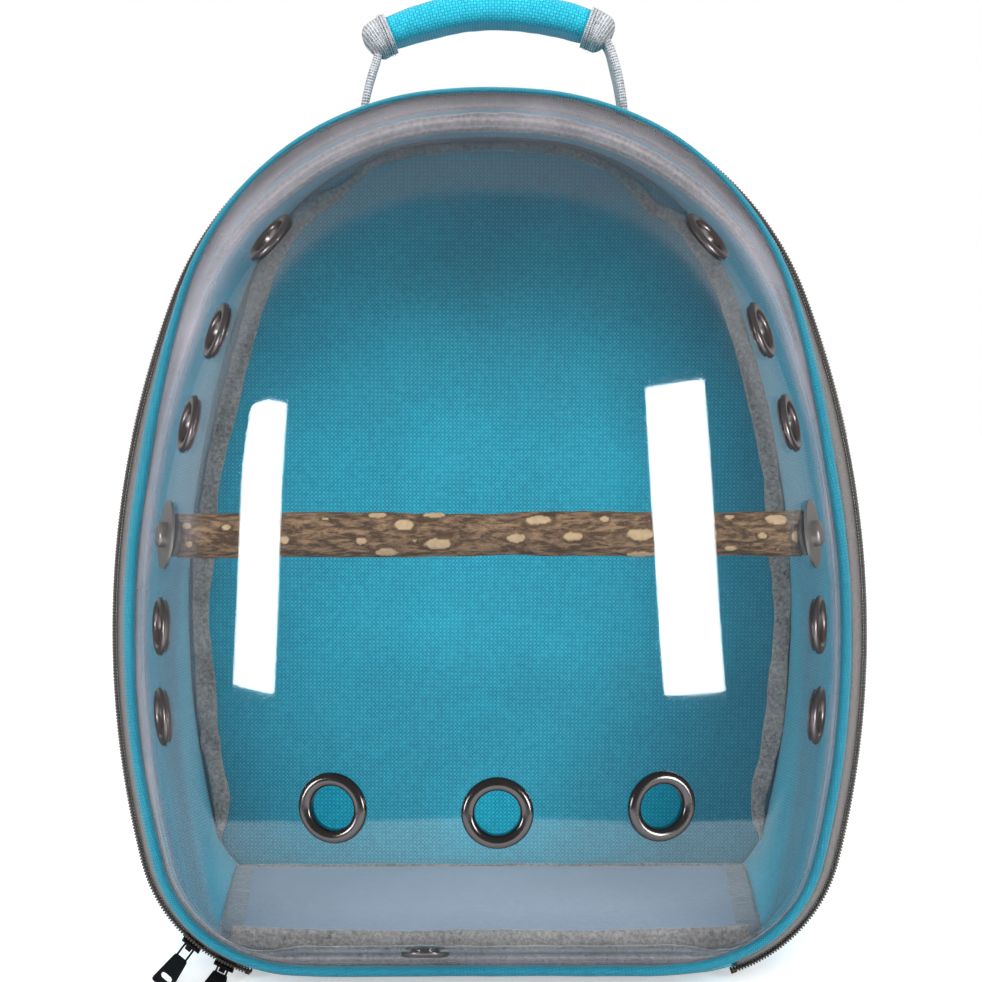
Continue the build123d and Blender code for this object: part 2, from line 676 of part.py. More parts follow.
# ---- floor pad
def make_pad():
    bottom = FABRIC + BOARD + PAD_CLEAR
    front = ZIP_Y + PAD_FRONT_CLEAR
    inset = LINING_INSET + RIM_BINDING[0] + PAD_CLEAR
    back = BACK_Y - BACK_BINDING[1] - PAD_CLEAR
    lowest = (Align.CENTER, Align.CENTER, Align.MIN)
    with BuildPart() as pad:
        add(slab(front + PAD_ROLL / 2, back, inset))
        with Locations((0, 0, bottom)):
            Box(AMPLE, AMPLE, PAD_THICK, align=lowest, mode=Mode.INTERSECT)
    keep(pad.part, "floor_pad")
    with BuildPart() as roll:
        add(slab(front, front + PAD_ROLL / 2, inset))
        with Locations((0, 0, bottom)):
            Box(AMPLE, AMPLE, PAD_THICK, align=lowest, mode=Mode.INTERSECT)
        fillet(roll.faces().sort_by(Axis.Y)[0].edges().filter_by(Axis.X), PAD_THICK * 0.4)
    keep(roll.part, "pad_front_binding")


# ---- shoulder harness
def make_harness():
    back = BACK_Y + BACK_SKIN + BACK_COVER
    with BuildPart() as yoke:
        with Locations((0, back, STRAP_TOP)):
            Box(YOKE[0], YOKE[2], YOKE[1], align=(Align.CENTER, Align.MIN, Align.CENTER))
        fillet(yoke.edges().filter_by(Axis.Y), HARNESS_CORNERS[0])
    keep(yoke.part, "harness_yoke")
    start_y = back + YOKE[2]
    for side, name in ((-1, "left"), (1, "right")):
        with BuildPart() as strap:
            with BuildSketch(Plane.YZ):
                with BuildLine():
                    top = (start_y + STRAP[1] / 2, STRAP_TOP + YOKE[1] / 2)
                    low = (back + STRAP_STAND + STRAP[1] / 2, STRAP_BOTTOM)
                    bow = (start_y + STRAP_BOW + STRAP[1] / 2, (STRAP_TOP + STRAP_BOTTOM) / 2)
                    ThreePointArc(top, bow, low)
                    offset(amount=STRAP[1] / 2, side=Side.BOTH)
                make_face()
            extrude(amount=STRAP[0] / 2, both=True)
        keep(strap.part.moved(Location((side * STRAP_X, 0, 0))), f"{name}_shoulder_strap")
        make_strap_end(side, name, back)


def make_strap_end(side, name, back):
    """The ladder lock under the padded strap, the webbing tail below it and the tab it is sewn to."""
    middle_y = back + TAIL_ANCHOR[2] + HARNESS_GAP + TAIL[1] / 2
    lock_top = STRAP_BOTTOM - STRAP[1] / 2 - HARNESS_GAP
    lock_low = lock_top - LOCK[1]
    with BuildPart() as lock:
        with BuildSketch(xz(middle_y + LOCK[2] / 2)):
            with Locations((side * STRAP_X, lock_top - LOCK[1] / 2)):
                RectangleRounded(LOCK[0], LOCK[1], HARNESS_CORNERS[1])
            for share in (-0.25, 0.25):
                with Locations((side * STRAP_X, lock_top - LOCK[1] * (0.5 + share))):
                    SlotOverall(*LOCK_SLOT, mode=Mode.SUBTRACT)
        extrude(amount=LOCK[2])
    keep(lock.part, f"{name}_ladder_lock")
    with BuildPart() as tail:
        with BuildSketch(xz(middle_y + TAIL[1] / 2)):
            with BuildLine():
                top = side * STRAP_X, lock_low - HARNESS_GAP
                low = side * TAIL_END[0], TAIL_END[1] - TAIL_ANCHOR[1] / 3
                half = TAIL[0] / 2
                Polyline(
                    (top[0] - half, top[1]),
                    (top[0] + half, top[1]),
                    (low[0] + half, low[1]),
                    (low[0] - half, low[1]),
                    close=True,
                )
            make_face()
        extrude(amount=TAIL[1])
    keep(tail.part, f"{name}_strap_webbing")
    with BuildPart() as tab:
        with Locations((side * TAIL_END[0], back, TAIL_END[1])):
            wide, high, thick = TAIL_ANCHOR
            Box(wide, thick, high, align=(Align.CENTER, Align.MIN, Align.CENTER))
        fillet(tab.edges().filter_by(Axis.Y), HARNESS_CORNERS[2])
    keep(tab.part, f"{name}_strap_anchor")


make_gusset()
make_back()
make_rim()
make_base_board()
make_cover_rim()
make_dome()
make_eyelets()
make_perch()
make_slider("upper_slider", SLIDER_ANGLES[0])
make_slider("lower_slider", SLIDER_ANGLES[1])
make_pull("upper_pull", SLIDER_ANGLES[0])
make_pull("lower_pull", SLIDER_ANGLES[1])
make_handle()
make_pad()
make_harness()
for piece in finished:
    print(f"{piece.label:26s} {piece.volume:12.1f} solids {len(piece.solids())}")
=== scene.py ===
"""Dresses the bird travel carrier: a fabric half shell, a clear domed cover, a bark perch and a harness.

Lengths in the shape functions are millimetres; make_piece turns them into metres.
+X is to the right as seen from the front, +Y points to the back and +Z up.
"""
import math

import bpy
import numpy as np
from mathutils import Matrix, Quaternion, Vector


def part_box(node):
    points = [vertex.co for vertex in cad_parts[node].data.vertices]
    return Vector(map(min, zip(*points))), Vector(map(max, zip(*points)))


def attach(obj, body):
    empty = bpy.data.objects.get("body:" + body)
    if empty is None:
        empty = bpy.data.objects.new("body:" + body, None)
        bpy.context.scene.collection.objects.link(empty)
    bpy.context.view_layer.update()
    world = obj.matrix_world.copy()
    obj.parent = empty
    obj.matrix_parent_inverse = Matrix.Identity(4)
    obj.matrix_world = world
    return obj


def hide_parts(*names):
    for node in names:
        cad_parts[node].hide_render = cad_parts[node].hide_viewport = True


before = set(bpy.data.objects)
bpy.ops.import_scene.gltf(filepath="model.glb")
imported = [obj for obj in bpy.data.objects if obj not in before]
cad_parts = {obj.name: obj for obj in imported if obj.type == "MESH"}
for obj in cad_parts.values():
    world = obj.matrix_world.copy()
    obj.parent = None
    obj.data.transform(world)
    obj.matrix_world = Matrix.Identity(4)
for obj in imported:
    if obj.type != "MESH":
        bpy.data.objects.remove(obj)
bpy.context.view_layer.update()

MM = 0.001

# ---- the carrier's outline and main places, as in the solids
TURNS = np.radians((76.8, 34.5, 63.5, 5.2))
FRONT_RADII = np.array((74.0, 445.0, 145.0, 250.0))
BACK_RADII = np.array((46.0, 505.0, 126.0, 310.0))
BASE_STEPS = 18
ARC_STEPS = (34, 44, 46, 6)
SHELL_INSET, LINING_INSET = 3.0, 6.0
ZIP_Y, BACK_Y = -65.0, 65.0
ZIP_GAP = 0.2
ZIP_END_X = 112.0
PIPING_Y, PIPING_INSET = -79.0, 9.0
DOME_INSET, DOME_WALL, DOME_DRAFT = 16.0, 1.5, math.radians(21.0)
DOME_SLOPE, DOME_LEAN, DOME_DIP = math.tan(DOME_DRAFT), math.cos(DOME_DRAFT), math.sin(DOME_DRAFT)
DOME_FRONT_Y, DOME_FACE_RADIUS, DOME_EDGE_ROUND = -201.0, 240.0, 27.35
FLANGE_INSET, FLANGE_THICK = 10.9, 1.4
PERCH_Y, PERCH_Z, PERCH_RADIUS = -127.0, 214.0, 10.2
SIDE_SETBACK = 48.0
SIDE_HEIGHTS = (136.0, 175.0, 261.0, 300.0, 339.0)
SIDE_HOLE, FRONT_HOLE, DRAIN_HOLE, SCREW_HOLE = 8.9, 9.9, 6.1, 3.1
FRONT_HOLE_X, FRONT_HOLE_Z = (-61.2, 2.8, 66.8), 114.0
DRAIN_X, DRAIN_SETBACK = -27.0, 78.0
HANDLE_Y, HANDLE_PIVOT_Z = -29.0, 412.8
GRIP_Z = 451.3


# ------------------------------------------------------------------ shapes
def at(*coordinates):
    """Points from their coordinates, each an array or a number."""
    return np.stack(np.broadcast_arrays(*coordinates), -1)


def full_turn(steps):
    """Angles once round, without the last one."""
    return np.linspace(0, 2 * math.pi, steps, endpoint=False)


def lengths(path):
    """How far along a path each of its points lies."""
    return np.concatenate(([0.0], np.cumsum(np.linalg.norm(np.diff(path, axis=0), axis=1))))


def girth(profile):
    """The same round a closed profile, with the way back to its first point."""
    return lengths(np.concatenate([profile, profile[:1]]))


def smoothstep(x, low, high):
    """0 below low, 1 above high and a soft S between."""
    t = np.clip((x - low) / (high - low), 0, 1)
    return t * t * (3 - 2 * t)


def ripple(a, b, seed, waves=7):
    """Soft unevenness from -1 to 1: a sum of sine waves whose directions and phases are drawn from the seed."""
    rng = np.random.default_rng(seed)
    total = weight = 0.0
    for k in range(waves):
        size = 0.55 + 1.9 * k / waves
        turn, phase = rng.uniform(0, 2 * math.pi, 2)
        total = total + np.sin(size * (a * math.cos(turn) + b * math.sin(turn)) + phase) / size
        weight += 0.62 / size
    return np.clip(total / weight, -1, 1)


def ripple_along(place, seed, waves=7):
    """A ripple along one direction."""
    return ripple(place, 0 * place, seed, waves)


def arch(radii, finer=1):
    """Closed arch loops, one a row of radii: a straight base, four arcs up to the crown, and their mirror.

    Each arc's centre lies on the last one's end normal, so an inset is a step along the normals. Returns points
    (rows, n, 2), outward normals, and the length along the first loop.
    """
    radii = np.atleast_2d(np.asarray(radii, float))
    starts = np.concatenate(([0.0], np.cumsum(TURNS)))
    x, z = np.zeros((2, len(radii), 1))
    points, normals = [], []
    for k, steps in enumerate(ARC_STEPS):
        r = radii[:, k:k + 1]
        cx, cz = x - r * math.sin(starts[k]), z + r * math.cos(starts[k])
        a = np.linspace(starts[k], starts[k + 1], steps * finer + 1)[1:]
        points.append(at(cx + r * np.sin(a), cz - r * np.cos(a)))
        normals.append(np.broadcast_to(at(np.sin(a), -np.cos(a)), points[-1].shape))
        x, z = cx + r * math.sin(starts[k + 1]), cz - r * math.cos(starts[k + 1])
    base = at(x * np.linspace(1, 0, BASE_STEPS * finer + 1), 0.0)
    half = np.concatenate([base] + points, 1) + at(-x, -SHELL_INSET)
    out = np.concatenate([np.broadcast_to((0.0, -1.0), base.shape)] + normals, 1)
    loop, out = (np.concatenate([side, side[:, -2:0:-1] * (-1.0, 1.0)], 1) for side in (half, out))
    return loop, out, girth(loop[0])


def taper(y):
    """The four radii of the shell at y: straight between the zip line and the back."""
    share = (np.asarray(y, float)[:, None] - ZIP_Y) / (BACK_Y - ZIP_Y)
    return FRONT_RADII + (BACK_RADII - FRONT_RADII) * share


def band(y, inset, tapered=True, finer=1):
    """A surface round the arch: row i lies at y[i], moved in by inset[i], each a number or one for each point.

    Returns the grid (rows, n, 3) and the length round the loop.
    """
    y, inset = (np.asarray(v, float) for v in (y, inset))
    y, inset = (v[:, None] if v.ndim == 1 else v for v in (y, inset))
    radii = taper(y.mean(1)) if tapered else np.tile(FRONT_RADII, (len(y), 1))
    loop, out, length = arch(radii, finer)
    flat = loop - out * inset[..., None]
    return at(flat[..., 0], y, flat[..., 1]), length


def rounded_rectangle(width, height, radius, steps=5):
    """Points round a rectangle with round corners, anticlockwise from the right side, about its middle."""
    a = np.linspace(0, math.pi / 2, steps)
    quarter = at(np.cos(a), np.sin(a)) * radius
    x, y = width / 2 - radius, height / 2 - radius
    out = []
    for k, (sx, sy) in enumerate(((1, 1), (-1, 1), (-1, -1), (1, -1))):
        c, s = math.cos(k * math.pi / 2), math.sin(k * math.pi / 2)
        out.append(quarter @ np.array([[c, s], [-s, c]]) + (sx * x, sy * y))
    return np.concatenate(out)


def sweep(path, across, profile, scale=None):
    """Carries a closed profile, or one for each step, along a path: point = path + p0 * side + p1 * normal.

    side is the fixed direction `across`, and normal is side x tangent. scale has one or two factors a step.
    Returns a grid, path by profile.
    """
    tangent = np.gradient(path, axis=0)
    side = np.broadcast_to(np.asarray(across, float), path.shape)
    normal = np.cross(side, tangent / np.linalg.norm(tangent, axis=1)[:, None])
    normal /= np.linalg.norm(normal, axis=1)[:, None]
    if scale is not None:
        profile = profile * np.reshape(scale, (len(path), 1, -1))
    return path[:, None] + profile[..., :1] * side[:, None] + profile[..., 1:] * normal[:, None]


def smoothed(path, rounds):
    """A path with its inner points averaged with their neighbours, over and over."""
    for _ in range(rounds):
        path[1:-1] = (path[:-2] + 2 * path[1:-1] + path[2:]) / 4
    return path


def spokes(direction, turns):
    """The unit vector along direction, and unit vectors square to it at these turns."""
    d = np.array(direction) / np.linalg.norm(direction)
    side = np.cross(d, (0.0, 0.0, 1.0) if abs(d[2]) < 0.9 else (0.0, 1.0, 0.0))
    side /= np.linalg.norm(side)
    return d, np.cos(turns)[:, None] * side + np.sin(turns)[:, None] * np.cross(d, side)


# ------------------------------------------------------------------ pieces
BOTH_ENDS, LAST_END = (0, -1), (-1,)


def new_object(name, points, faces):
    """An object in the scene with a mesh of these points, in metres."""
    mesh = bpy.data.meshes.new(name)
    mesh.from_pydata(np.asarray(points).tolist(), [], faces)
    piece = bpy.data.objects.new(name, mesh)
    bpy.context.scene.collection.objects.link(piece)
    return piece


def make_piece(name, grid, u=None, v=None, flip=False, ring=False, caps=BOTH_ENDS):
    """A quad surface over a grid of points, rows by columns, in millimetres. Each row closes on itself.

    In a ring the last row joins the first; otherwise caps names the rows closed with a fan about their middle.
    u (columns, and one value more) and v (rows, and one value more in a ring) become the UV map in metres.
    """
    rows, cols = grid.shape[:2]
    u = np.arange(cols + 1.0) if u is None else u
    v = np.arange(rows + 1.0) if v is None else v
    i, j = np.indices((rows if ring else rows - 1, cols)).reshape(2, -1)
    i2, j2 = (i + 1) % rows, (j + 1) % cols
    step = -1 if flip else 1
    faces = at(i * cols + j, i * cols + j2, i2 * cols + j2, i2 * cols + j)[:, ::step].tolist()
    corners = at(u[j], v[i], u[j + 1], v[i], u[j + 1], v[i + 1], u[j], v[i + 1]).reshape(-1, 4, 2)
    corners = corners[:, ::step].reshape(-1, 2)
    points = grid.reshape(-1, 3)
    for row in () if ring else np.array(caps) % rows:
        rim = row * cols + np.arange(cols)
        after = np.roll(rim, -1)
        faces += at(*((rim, after) if row else (after, rim)), len(points))[:, ::step].tolist()
        points = np.vstack([points, grid[row].mean(0)])
        corners = np.vstack([corners, np.repeat([[u[0], v[row]]], 3 * cols, 0)])
    piece = new_object(name, points * MM, faces)
    layer = piece.data.uv_layers.new(name="cloth")
    layer.data.foreach_set("uv", (corners * MM).astype(np.float32).ravel())
    piece.data.polygons.foreach_set("use_smooth", [True] * len(faces))
    piece.data.update()
    return piece


def tube(name, path, across, profile, scale=None, v=None, flip=False):
    """A capped tube: a closed profile swept along a path, its UVs round the profile and along the path."""
    grid = sweep(path, across, profile, scale)
    return make_piece(name, grid, girth(profile), lengths(path) if v is None else v, flip)


def dress(piece, body, slot, finish, *nodes):
    """Gives a piece its body and finish, and hides the nodes it stands for; slot is not used."""
    piece.data.materials.clear()
    piece.data.materials.append(finish)
    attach(piece, body)
    if nodes:
        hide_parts(*nodes)


def merge(pieces, name):
    """Joins meshes into one object with their UV maps kept."""
    bpy.ops.object.select_all(action="DESELECT")
    for piece in pieces:
        piece.select_set(True)
    bpy.context.view_layer.objects.active = pieces[0]
    if len(pieces) > 1:
        bpy.ops.object.join()
    pieces[0].name = pieces[0].data.name = name
    return pieces[0]


def apply_modifiers(piece):
    """Writes the piece's modifiers into its mesh."""
    graph = bpy.context.evaluated_depsgraph_get()
    done = bpy.data.meshes.new_from_object(piece.evaluated_get(graph), depsgraph=graph)
    piece.modifiers.clear()
    piece.data = done


# ------------------------------------------------------------------ finishes
WHITE = (1.0, 1.0, 1.0, 1.0)
KNOT_LAYERS = ("knot", "knot_rim")


class Wire:
    """A shader value. Arithmetic on it adds maths nodes to its tree."""

    def __init__(self, tree, socket):
        self.tree, self.socket = tree, socket

    def out(self, key):
        """Another output of the same node."""
        return Wire(self.tree, self.socket.node.outputs[key])

    def maths(self, operation, *others):
        return add(self.tree, "Math", dict(enumerate((self,) + others)), operation=operation)

    def __add__(self, other):
        return self.maths("ADD", other)

    def __sub__(self, other):
        return self.maths("SUBTRACT", other)

    def __rsub__(self, other):
        return self.maths("MULTIPLY_ADD", -1.0, other)

    def __mul__(self, other):
        return self.maths("MULTIPLY", other)

    def __pow__(self, other):
        return self.maths("POWER", other)

    def ramp(self, low, high, start=0.0, end=1.0):
        """start up to the value low, end from high on, and a straight run between."""
        return add(self.tree, "MapRange", {"Value": self, 1: low, 2: high, 3: start, 4: end})

    def clamped(self):
        return add(self.tree, "Clamp", {0: self})

    def axes(self):
        """The three coordinates of a place."""
        x = add(self.tree, "SeparateXYZ", {0: self})
        return x, x.out(1), x.out(2)

    def wave(self, length):
        """A sine wave along the value, a wave each length in millimetres."""
        return (self * (2 * math.pi / (length * MM))).maths("SINE")


def add(tree, kind, inputs=None, output=0, **settings):
    """A shader node with its settings and inputs, each a value or the Wire that feeds it; gives one output."""
    new = tree.nodes.new("ShaderNode" + kind)
    for key, value in settings.items():
        setattr(new, key, value)
    for key, value in (inputs or {}).items():
        if isinstance(value, Wire):
            tree.links.new(value.socket, new.inputs[key])
        else:
            new.inputs[key].default_value = value
    return Wire(tree, new.outputs[output])


def noise(place, scale, detail=2.0, roughness=0.5, distortion=0.0):
    return add(place.tree, "TexNoise", {"Vector": place, "Scale": scale, "Detail": detail,
                                        "Roughness": roughness, "Distortion": distortion})


def mix(share, a, b):
    return add(share.tree, "Mix", {"Factor": share, "A": a, "B": b}, "Result", data_type="RGBA")


def mix_shader(share, a, b):
    return add(share.tree, "MixShader", {0: share, 1: a, 2: b})


def colour(r, g, b):
    """A linear colour from 0-255 display values."""
    def linear(c):
        c /= 255.0
        return c / 12.92 if c <= 0.04045 else ((c + 0.055) / 1.055) ** 2.4
    return (linear(r), linear(g), linear(b), 1.0)


def new_finish(name, **surface):
    """A material with one principled shader, whose plain socket values surface gives.

    Returns the material, the shader and the place in the piece, in metres.
    """
    finish = bpy.data.materials.new(name)
    finish.use_nodes = True
    shader = finish.node_tree.nodes["Principled BSDF"]
    for key, value in surface.items():
        shader.inputs[key.replace("_", " ")].default_value = value
    return finish, shader, add(finish.node_tree, "TexCoord", output="Object")


def feed(shader, **wires):
    """Links wires to the shader's sockets."""
    for key, wire in wires.items():
        wire.tree.links.new(wire.socket, shader.inputs[key.replace("_", " ")])


def bump(height, strength, distance):
    return add(height.tree, "Bump", {"Height": height, "Strength": strength, "Distance": distance})


def show(surface):
    """Makes this shader the one that the material shows."""
    feed(surface.tree.nodes["Material Output"], Surface=surface)


def on_cloth(place):
    """The place on the cloth, from its UV map in metres."""
    return add(place.tree, "UVMap", uv_map="cloth")


def woven(name, deep, bright, thread=0.75, flat=False, patch=14.0, relief=0.35, slant=0.0, painted_edge_shade=False):
    """Woven cloth: thread relief, two-tone threads, soft patches of wear and a faint sheen.

    Its threads lie along the UV map, or upright and across where flat is set, turned by slant.
    A painted shade, set by the last flag, darkens the cloth softly from the middle of the back panel towards its
    edges.
    """
    finish, shader, solid = new_finish(name, Roughness=0.78, Sheen_Weight=0.25, Sheen_Roughness=0.4,
                                       Specular_IOR_Level=0.25)
    x, _, z = solid.axes()
    cloth = add(solid.tree, "CombineXYZ", {0: x, 1: z}) if flat else on_cloth(solid)
    if slant:
        cloth = add(solid.tree, "Mapping", {"Vector": cloth, "Rotation": (0.0, 0.0, slant)})
    # basket weave: warp ridges on the light squares of a checker, and weft ridges on the dark ones
    warp, weft = (axis.wave(2 * thread) for axis in cloth.axes()[:2])
    over = (warp * weft).maths("GREATER_THAN", 0.0)
    height = warp.maths("ABSOLUTE") * over + weft.maths("ABSOLUTE") * (1.0 - over)
    wear, fluff = noise(solid, patch, 3.0, 0.55), noise(solid, 420.0)
    light = height * 0.8 - 0.15 + over * 0.24 + (wear - 0.5) * 0.5 + (fluff - 0.5) * 0.5
    tint = mix(light.clamped(), deep, bright)
    # painted shade: the lining turns darker towards the back panel's edges and top, where the walls shade it
    if painted_edge_shade:
        across, up = (x + 0.02) * (1 / 0.145), (z - 0.205) * (1 / 0.26)
        tint = mix((across * across + up * up).ramp(0.35, 1.2, 0.0, 0.6), tint, colour(8, 62, 84))
    feed(shader, Base_Color=tint, Normal=bump(height + fluff * 0.5, relief, 0.0004))
    return finish


def ribbed(name, deep, bright, pitch=1.5, across=0.5):
    """Webbing or tape: ribs along its length with a fine cross thread and flecks."""
    finish, shader, solid = new_finish(name, Roughness=0.7, Sheen_Weight=0.2, Specular_IOR_Level=0.3)
    u, v, _ = on_cloth(solid).axes()
    ribs = v.wave(pitch) * 0.5 + u.wave(pitch * across) * 0.22
    shade = ribs * 0.55 + noise(solid, 700.0) * 1.1
    feed(shader, Base_Color=mix(shade.clamped(), deep, bright), Normal=bump(ribs, 0.6, 0.0005))
    return finish


def brushed_tape(name, deep, bright, rib=None):
    """Soft binding tape: short fibres, uneven dye and small puckers, with ribs where their pitch is given."""
    finish, shader, solid = new_finish(name, Roughness=0.85, Sheen_Weight=0.45, Sheen_Roughness=0.5,
                                       Specular_IOR_Level=0.2)
    fibres = noise(solid, 560.0, 4.0, 0.75)
    shade = fibres * 1.9 + noise(solid, 35.0) * 0.9 - 0.92
    height = fibres * 0.35 + noise(solid, 130.0, distortion=0.6)
    if rib:
        ribs = on_cloth(solid).axes()[1].wave(rib)
        shade, height = shade + ribs * 0.22, height + ribs * 0.5
    feed(shader, Base_Color=mix(shade.clamped(), deep, bright), Normal=bump(height, 0.55, 0.0012))
    return finish


def moulded(name, tint, rough=0.4, metal=0.0, spread=0.12, relief=0.08):
    """Moulded plastic, rubber or metal: uneven gloss, fine grain and a slight tone change."""
    finish, shader, solid = new_finish(name, Metallic=metal)
    patches = noise(solid, 60.0, 3.0)
    light = tuple(min(1.0, c * 1.35 + 0.01) for c in tint[:3]) + (1.0,)
    feed(shader, Base_Color=mix(patches, tint, light), Roughness=patches * spread + (rough - spread / 2),
         Normal=bump(noise(solid, 900.0, 3.0), relief, 0.0003))
    return finish


def clear_sheet(name):
    """Clear PVC: looks straight through, with a gloss that grows towards grazing, a faint scuffed haze and a
    painted reflection on the left wall.
    """
    finish, shader, solid = new_finish(name)
    finish.node_tree.nodes.remove(shader)
    x, y, z = solid.axes()
    edge = add(solid.tree, "LayerWeight", {"Blend": 0.5}, "Facing")
    grazing = edge ** 5.0
    # a slanting look goes through more of the sheet, so its edges are a cool grey
    sheet = mix(grazing, (0.965, 0.98, 0.985, 1.0), (0.62, 0.70, 0.74, 1.0))
    haze = edge ** 3.0 * 0.05 + noise(solid, 60.0, 5.0, 0.65) * 0.012
    # the moulded root beside the flange is milky and clears within about 2 cm, less at the bottom and the top
    milky = y.ramp(-0.099, -0.080) ** 1.8 * (noise(solid, 26.0) * 0.92)
    haze = haze + milky * (z.ramp(0.03, 0.12, 0.35, 1.0) * z.ramp(0.31, 0.385, 1.0, 0.36))
    # painted reflection: the bent left wall gets a little more haze than the face, standing in for the pale
    # sheen it reflects
    haze = haze + x.ramp(-0.117, -0.108, 0.045, 0.0) * y.ramp(-0.171, -0.168)
    body = mix_shader(haze, add(solid.tree, "BsdfTransparent", {"Color": sheet}),
                      add(solid.tree, "BsdfDiffuse", {"Color": colour(190, 183, 190)}))
    waves = bump(noise(solid, 9.0, 1.0), 0.12, 0.004)
    gloss = add(solid.tree, "BsdfAnisotropic", {"Color": WHITE, "Roughness": 0.03, "Normal": waves})
    show(mix_shader(grazing * 0.22 + 0.035, body, gloss))
    return finish


def bark_finish(name):
    """Bark: long cracks and flakes in browns; the knot attribute shows pale cut wood with a darker rim."""
    finish, shader, solid = new_finish(name, Roughness=0.85, Specular_IOR_Level=0.2)
    along = add(solid.tree, "Mapping", {"Vector": solid, "Scale": (0.3, 1.0, 1.0)})
    flakes = noise(along, 420.0, 6.0, 0.7, 0.35)
    patches = noise(solid, 55.0, 3.0)
    surface = mix(flakes.ramp(0.44, 0.60), mix(patches, colour(52, 38, 29), colour(88, 66, 48)),
                  mix(patches, colour(128, 98, 72), colour(150, 120, 92)))
    knot, rim = (add(solid.tree, "Attribute", output="Fac", attribute_name=layer) for layer in KNOT_LAYERS)
    wood = mix(noise(solid, 500.0, 3.0), colour(152, 124, 92), colour(192, 164, 130))
    surface = mix(rim * 0.6, mix(knot, surface, wood), colour(82, 58, 42))
    feed(shader, Base_Color=surface, Normal=bump(flakes * (1.0 - knot * 0.85), 0.9, 0.0012))
    return finish


TEAL = colour(14, 112, 138), colour(50, 200, 222)
GREY = colour(66, 60, 58), colour(172, 163, 159)
WEBBING_GREY = colour(96, 98, 100), colour(206, 208, 211)
teal_cloth = woven("teal_oxford", *TEAL, thread=1.4)
teal_panel = woven("teal_oxford_panel", *TEAL, thread=1.4, flat=True)
teal_lining = woven("teal_oxford_lining", *TEAL, thread=1.5, flat=True, slant=0.8, painted_edge_shade=True)
teal_piping = woven("teal_piping_cloth", colour(17, 90, 112), colour(48, 148, 168), thread=1.1, slant=0.6)
binding_cloth = brushed_tape("brushed_binding", *GREY)
ribbed_binding = brushed_tape("ribbed_binding", *GREY, rib=3.4)
tape_cloth = ribbed("zip_tape_cloth", colour(86, 81, 78), colour(138, 132, 129), pitch=1.0)
coil_plastic = moulded("zip_coil_nylon", colour(66, 60, 56), rough=0.38)
zip_metal = moulded("black_zip_metal", colour(22, 22, 24), rough=0.3, metal=0.6)
gunmetal = moulded("dark_nickel", colour(90, 86, 86), rough=0.2, metal=1.0, spread=0.08, relief=0.03)
# the side and drain eyelets are the same metal as the front ones, painted lighter: a painted sheen for the pale
# haze seen over them
painted_sheen_nickel = moulded("painted_sheen_nickel", colour(122, 113, 112), rough=0.3, metal=0.95, spread=0.08, relief=0.03)
clear_plastic = clear_sheet("clear_pvc")
bark = bark_finish("branch_bark")
rubber = moulded("washer_rubber", colour(92, 90, 88), rough=0.7)
washer_steel = moulded("washer_steel", colour(136, 132, 129), rough=0.36, metal=0.8)
pad_cloth = woven("pad_cloth", colour(118, 128, 146), colour(160, 168, 184), thread=0.5, relief=0.12, patch=9.0)
# the pad's folded sides are its own cloth in a darker tone: partly their own tone, partly painted shade along
# the walls
pad_fold_cloth = brushed_tape("pad_fold", colour(62, 68, 78), colour(118, 122, 132))
webbing_cloth = ribbed("grey_webbing_ribs", *WEBBING_GREY, pitch=1.3, across=0.8)
anchor_cloth = brushed_tape("grey_webbing_plain", *WEBBING_GREY)
black_plastic = moulded("black_buckle_plastic", colour(26, 26, 28), rough=0.42)
board_plastic = moulded("stiffener_board", colour(190, 190, 188), rough=0.6)


# ------------------------------------------------------------------ fabric shell
BACK_MIDDLE_Z, QUILT_PITCH = 205.0, 44.0
CORD_INSET, CORD_Y, CORD_RADIUS = 4.2, BACK_Y + 4.9, 2.2


def make_shell():
    """Walls: rows run from the zip line to the back at the outside and return inside, with soft bulges."""
    y_out = np.linspace(ZIP_Y + ZIP_GAP, BACK_Y, 26)
    y = np.concatenate([y_out, y_out[::-1]])
    plain, length = band(y, np.full(len(y), SHELL_INSET))
    s, deep = length[:-1], y[:, None]
    free = np.sin(np.pi * (deep - y[0]) / (BACK_Y - y[0])) ** 0.7 * smoothstep(plain[..., 2], 22.0, 60.0)
    bulge = ripple(s / 26, deep / 22, 5) * 0.5 + 0.5
    fold = ripple(s / 9, deep / 60, 6) ** 3
    inset = np.where(np.arange(len(y))[:, None] < len(y_out), SHELL_INSET + 0.5 * free * bulge,
                     LINING_INSET + free * (1.6 * bulge + 0.9 * np.abs(fold)))
    v = np.concatenate([y_out, 2 * BACK_Y - y_out[::-1] + 3, [2 * BACK_Y + 70]])
    piece = make_piece("shell_cloth", band(y, inset)[0], length, v, ring=True)
    dress(piece, "rear_body", "teal_fabric", teal_cloth, "fabric_shell")


def disc_rows(inset, y, shares, bulge=None):
    """Rings that shrink from the arch at y towards its middle; bulge(x, z, share) moves them along Y."""
    shares = np.asarray(shares)[:, None]
    loop, out, _ = arch(taper([min(y, BACK_Y)]))
    middle = (0.0, BACK_MIDDLE_Z)
    flat = middle + (loop[0] - out[0] * inset - middle) * shares[..., None]
    x, z = flat[..., 0], flat[..., 1]
    return at(x, y if bulge is None else y + bulge(x, z, shares), z)


def pucker(x, z, share):
    """The lining of the back hangs softly and is pulled in along its binding."""
    turn = np.arctan2(x, z - BACK_MIDDLE_Z)
    near = smoothstep(share, 0.78, 0.97) * (1 - smoothstep(share, 0.985, 1.0))
    pull = ripple(turn * 13, share * 2, 11)
    soft = ripple(x / 45, z / 50, 12)
    return -(0.6 + 0.5 * soft + 0.9 * near * pull * np.abs(pull)) * (1 - smoothstep(share, 0.97, 1.0))


